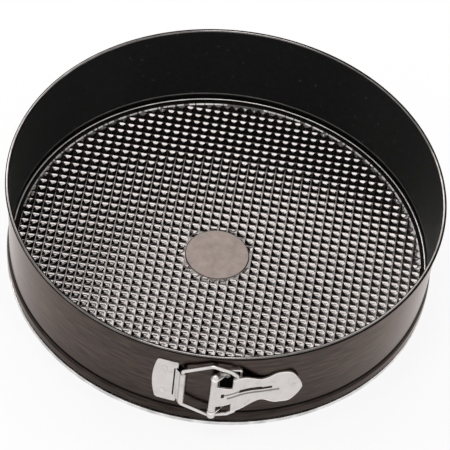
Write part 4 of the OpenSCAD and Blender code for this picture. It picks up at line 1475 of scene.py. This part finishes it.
class PAN_OT_make_stage(bpy.types.Operator):
    """Makes the floor, the lamps and the camera"""

    bl_idname = "pan.make_stage"
    bl_label = "Make Stage"

    FLOOR_REACH = 6.0
    CARD_TONE = (0.01, 0.01, 0.01)
    SENSOR_WIDTH, CLIP_END = 36.0, 50.0

    def flat_sheet(self, name, x, y, material):
        """A flat sheet with four sides, given by its half widths."""
        mesh = bpy.data.meshes.new(name)
        mesh.from_pydata([(-x, -y, 0), (x, -y, 0), (x, y, 0), (-x, y, 0)], [], [(0, 1, 2, 3)])
        mesh.materials.append(material)
        return in_scene(name, mesh)

    def facing(self, place, axis):
        """The turn that points an axis from a place to the middle of the pan's foot."""
        return (Vector((0.0, 0.0, 0.0)) - Vector(place)).to_track_quat(axis, "Y").to_euler()

    def floor(self, settings):
        """A wide pale floor that shows the pan's soft shadow."""
        finish = Finish("pale_floor")
        finish.set(Base_Color=(*settings.floor, 1.0), Roughness=0.9, Specular_IOR_Level=0.1)
        white = finish.node("ShaderNodeEmission", Color=(1.0, 1.0, 1.0, 1.0), Strength=1.0)
        lift = finish.node("ShaderNodeMath")
        lift.operation = "MULTIPLY"
        finish.put(lift.inputs[0], shown_rays(finish.tree))
        finish.put(lift.inputs[1], settings.floor_lift)
        mix = finish.node("ShaderNodeMixShader", Fac=lift.outputs["Value"])
        finish.put(mix.inputs[1], finish.surface.outputs["BSDF"])
        finish.put(mix.inputs[2], white.outputs["Emission"])
        finish.put(finish.tree.nodes["Material Output"].inputs["Surface"], mix.outputs["Shader"])
        floor = self.flat_sheet("floor", self.FLOOR_REACH, self.FLOOR_REACH, finish.material)

    def world(self, settings):
        """Even light all round, plain white to the camera and in reflections."""
        world = bpy.data.worlds.new("studio")
        world.use_nodes = True
        tree = world.node_tree
        back = tree.nodes["Background"]
        back.inputs["Color"].default_value = (1.0, 1.0, 1.0, 1.0)
        back.inputs["Strength"].default_value = settings.sky
        white = tree.nodes.new("ShaderNodeBackground")
        white.inputs["Color"].default_value = (1.0, 1.0, 1.0, 1.0)
        mix = tree.nodes.new("ShaderNodeMixShader")
        tree.links.new(shown_rays(tree), mix.inputs["Fac"])
        tree.links.new(back.outputs["Background"], mix.inputs[1])
        tree.links.new(white.outputs["Background"], mix.inputs[2])
        tree.links.new(mix.outputs["Shader"], tree.nodes["World Output"].inputs["Surface"])
        bpy.context.scene.world = world

    def lamp(self, name, place, size, power):
        """A soft lamp with four sides, turned towards the pan."""
        data = bpy.data.lights.new(name, "AREA")
        data.shape = "RECTANGLE"
        data.size, data.size_y = size
        data.energy = power
        lamp = in_scene(name, data)
        lamp.location = place
        lamp.rotation_euler = self.facing(place, "-Z")

    def card(self, place, size):
        """A black studio card that only reflections show, for dark sides on the embossed cells."""
        felt = baked_residue("black_card_felt", self.CARD_TONE)
        card = self.flat_sheet("black_card", size[0] / 2.0, size[1] / 2.0, felt)
        card.location = place
        card.rotation_euler = self.facing(place, "Z")
        card.visible_camera = False
        card.visible_diffuse = False
        card.visible_shadow = False

    def camera(self, settings):
        """The camera at the photograph's angle and tilt."""
        data = bpy.data.cameras.new("view")
        data.lens = settings.lens
        data.sensor_width = self.SENSOR_WIDTH
        data.clip_end = self.CLIP_END
        rise, tilt = settings.elevation, settings.roll
        right = Vector((1.0, 0.0, 0.0))
        ahead = Vector((0.0, math.cos(rise), -math.sin(rise)))
        up = Vector((0.0, math.sin(rise), math.cos(rise)))
        x = right * math.cos(tilt) + up * math.sin(tilt)
        y = up * math.cos(tilt) - right * math.sin(tilt)
        turn = Matrix((x, y, -ahead)).transposed().to_4x4()
        camera = in_scene("view", data)
        camera.matrix_world = Matrix.Translation(Vector(settings.aim) - ahead * settings.distance) @ turn
        bpy.context.scene.camera = camera

    def execute(self, context):
        settings = context.scene.pan_stage
        self.floor(settings)
        self.world(settings)
        self.card(settings.card_place, settings.card_size)
        for name in ("key", "back", "side"):
            place, size = getattr(settings, name + "_place"), getattr(settings, name + "_size")
            self.lamp(name, place, size, getattr(settings, name))
        self.camera(settings)
        context.scene.view_settings.view_transform = "Standard"
        return {"FINISHED"}


class PAN_PT_maker(bpy.types.Panel):
    """Lists the pan's settings and the pieces that can be made"""

    bl_idname = "PAN_PT_maker"
    bl_label = "Springform Cake Pan"
    bl_space_type = "VIEW_3D"
    bl_region_type = "UI"
    bl_category = "Cake Pan"

    def draw(self, context):
        column = self.layout.column(align=True)
        for operator in OPERATORS:
            column.operator(operator.bl_idname)
        for name in SETTINGS:
            group = getattr(context.scene, name)
            box = self.layout.box()
            for key in group.__annotations__:
                box.prop(group, key)


OPERATORS = (
    PAN_OT_make_stage,
    PAN_OT_make_band,
    PAN_OT_make_base,
    PAN_OT_make_catch_plate,
    PAN_OT_make_rivets,
    PAN_OT_make_bail,
    PAN_OT_make_lever,
    PAN_OT_make_pivot_pin,
    PAN_OT_make_bracket,
)
SETTINGS = {
    "pan_band": PanBandSettings,
    "pan_base": PanBaseSettings,
    "pan_clasp": PanClaspSettings,
    "pan_stage": PanStageSettings,
}


def register():
    """Makes the settings, operators and panel known."""
    for name, group in SETTINGS.items():
        bpy.utils.register_class(group)
        setattr(bpy.types.Scene, name, PointerProperty(type=group))
    for operator in OPERATORS:
        bpy.utils.register_class(operator)
    bpy.utils.register_class(PAN_PT_maker)


def unregister():
    """Takes the panel, operators and settings away again."""
    bpy.utils.unregister_class(PAN_PT_maker)
    for operator in reversed(OPERATORS):
        bpy.utils.unregister_class(operator)
    for name, group in reversed(SETTINGS.items()):
        delattr(bpy.types.Scene, name)
        bpy.utils.unregister_class(group)


def main():
    """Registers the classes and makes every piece."""
    register()
    for operator in OPERATORS:
        family, name = operator.bl_idname.split(".")
        getattr(getattr(bpy.ops, family), name)()


if __name__ == "__main__":
    main()
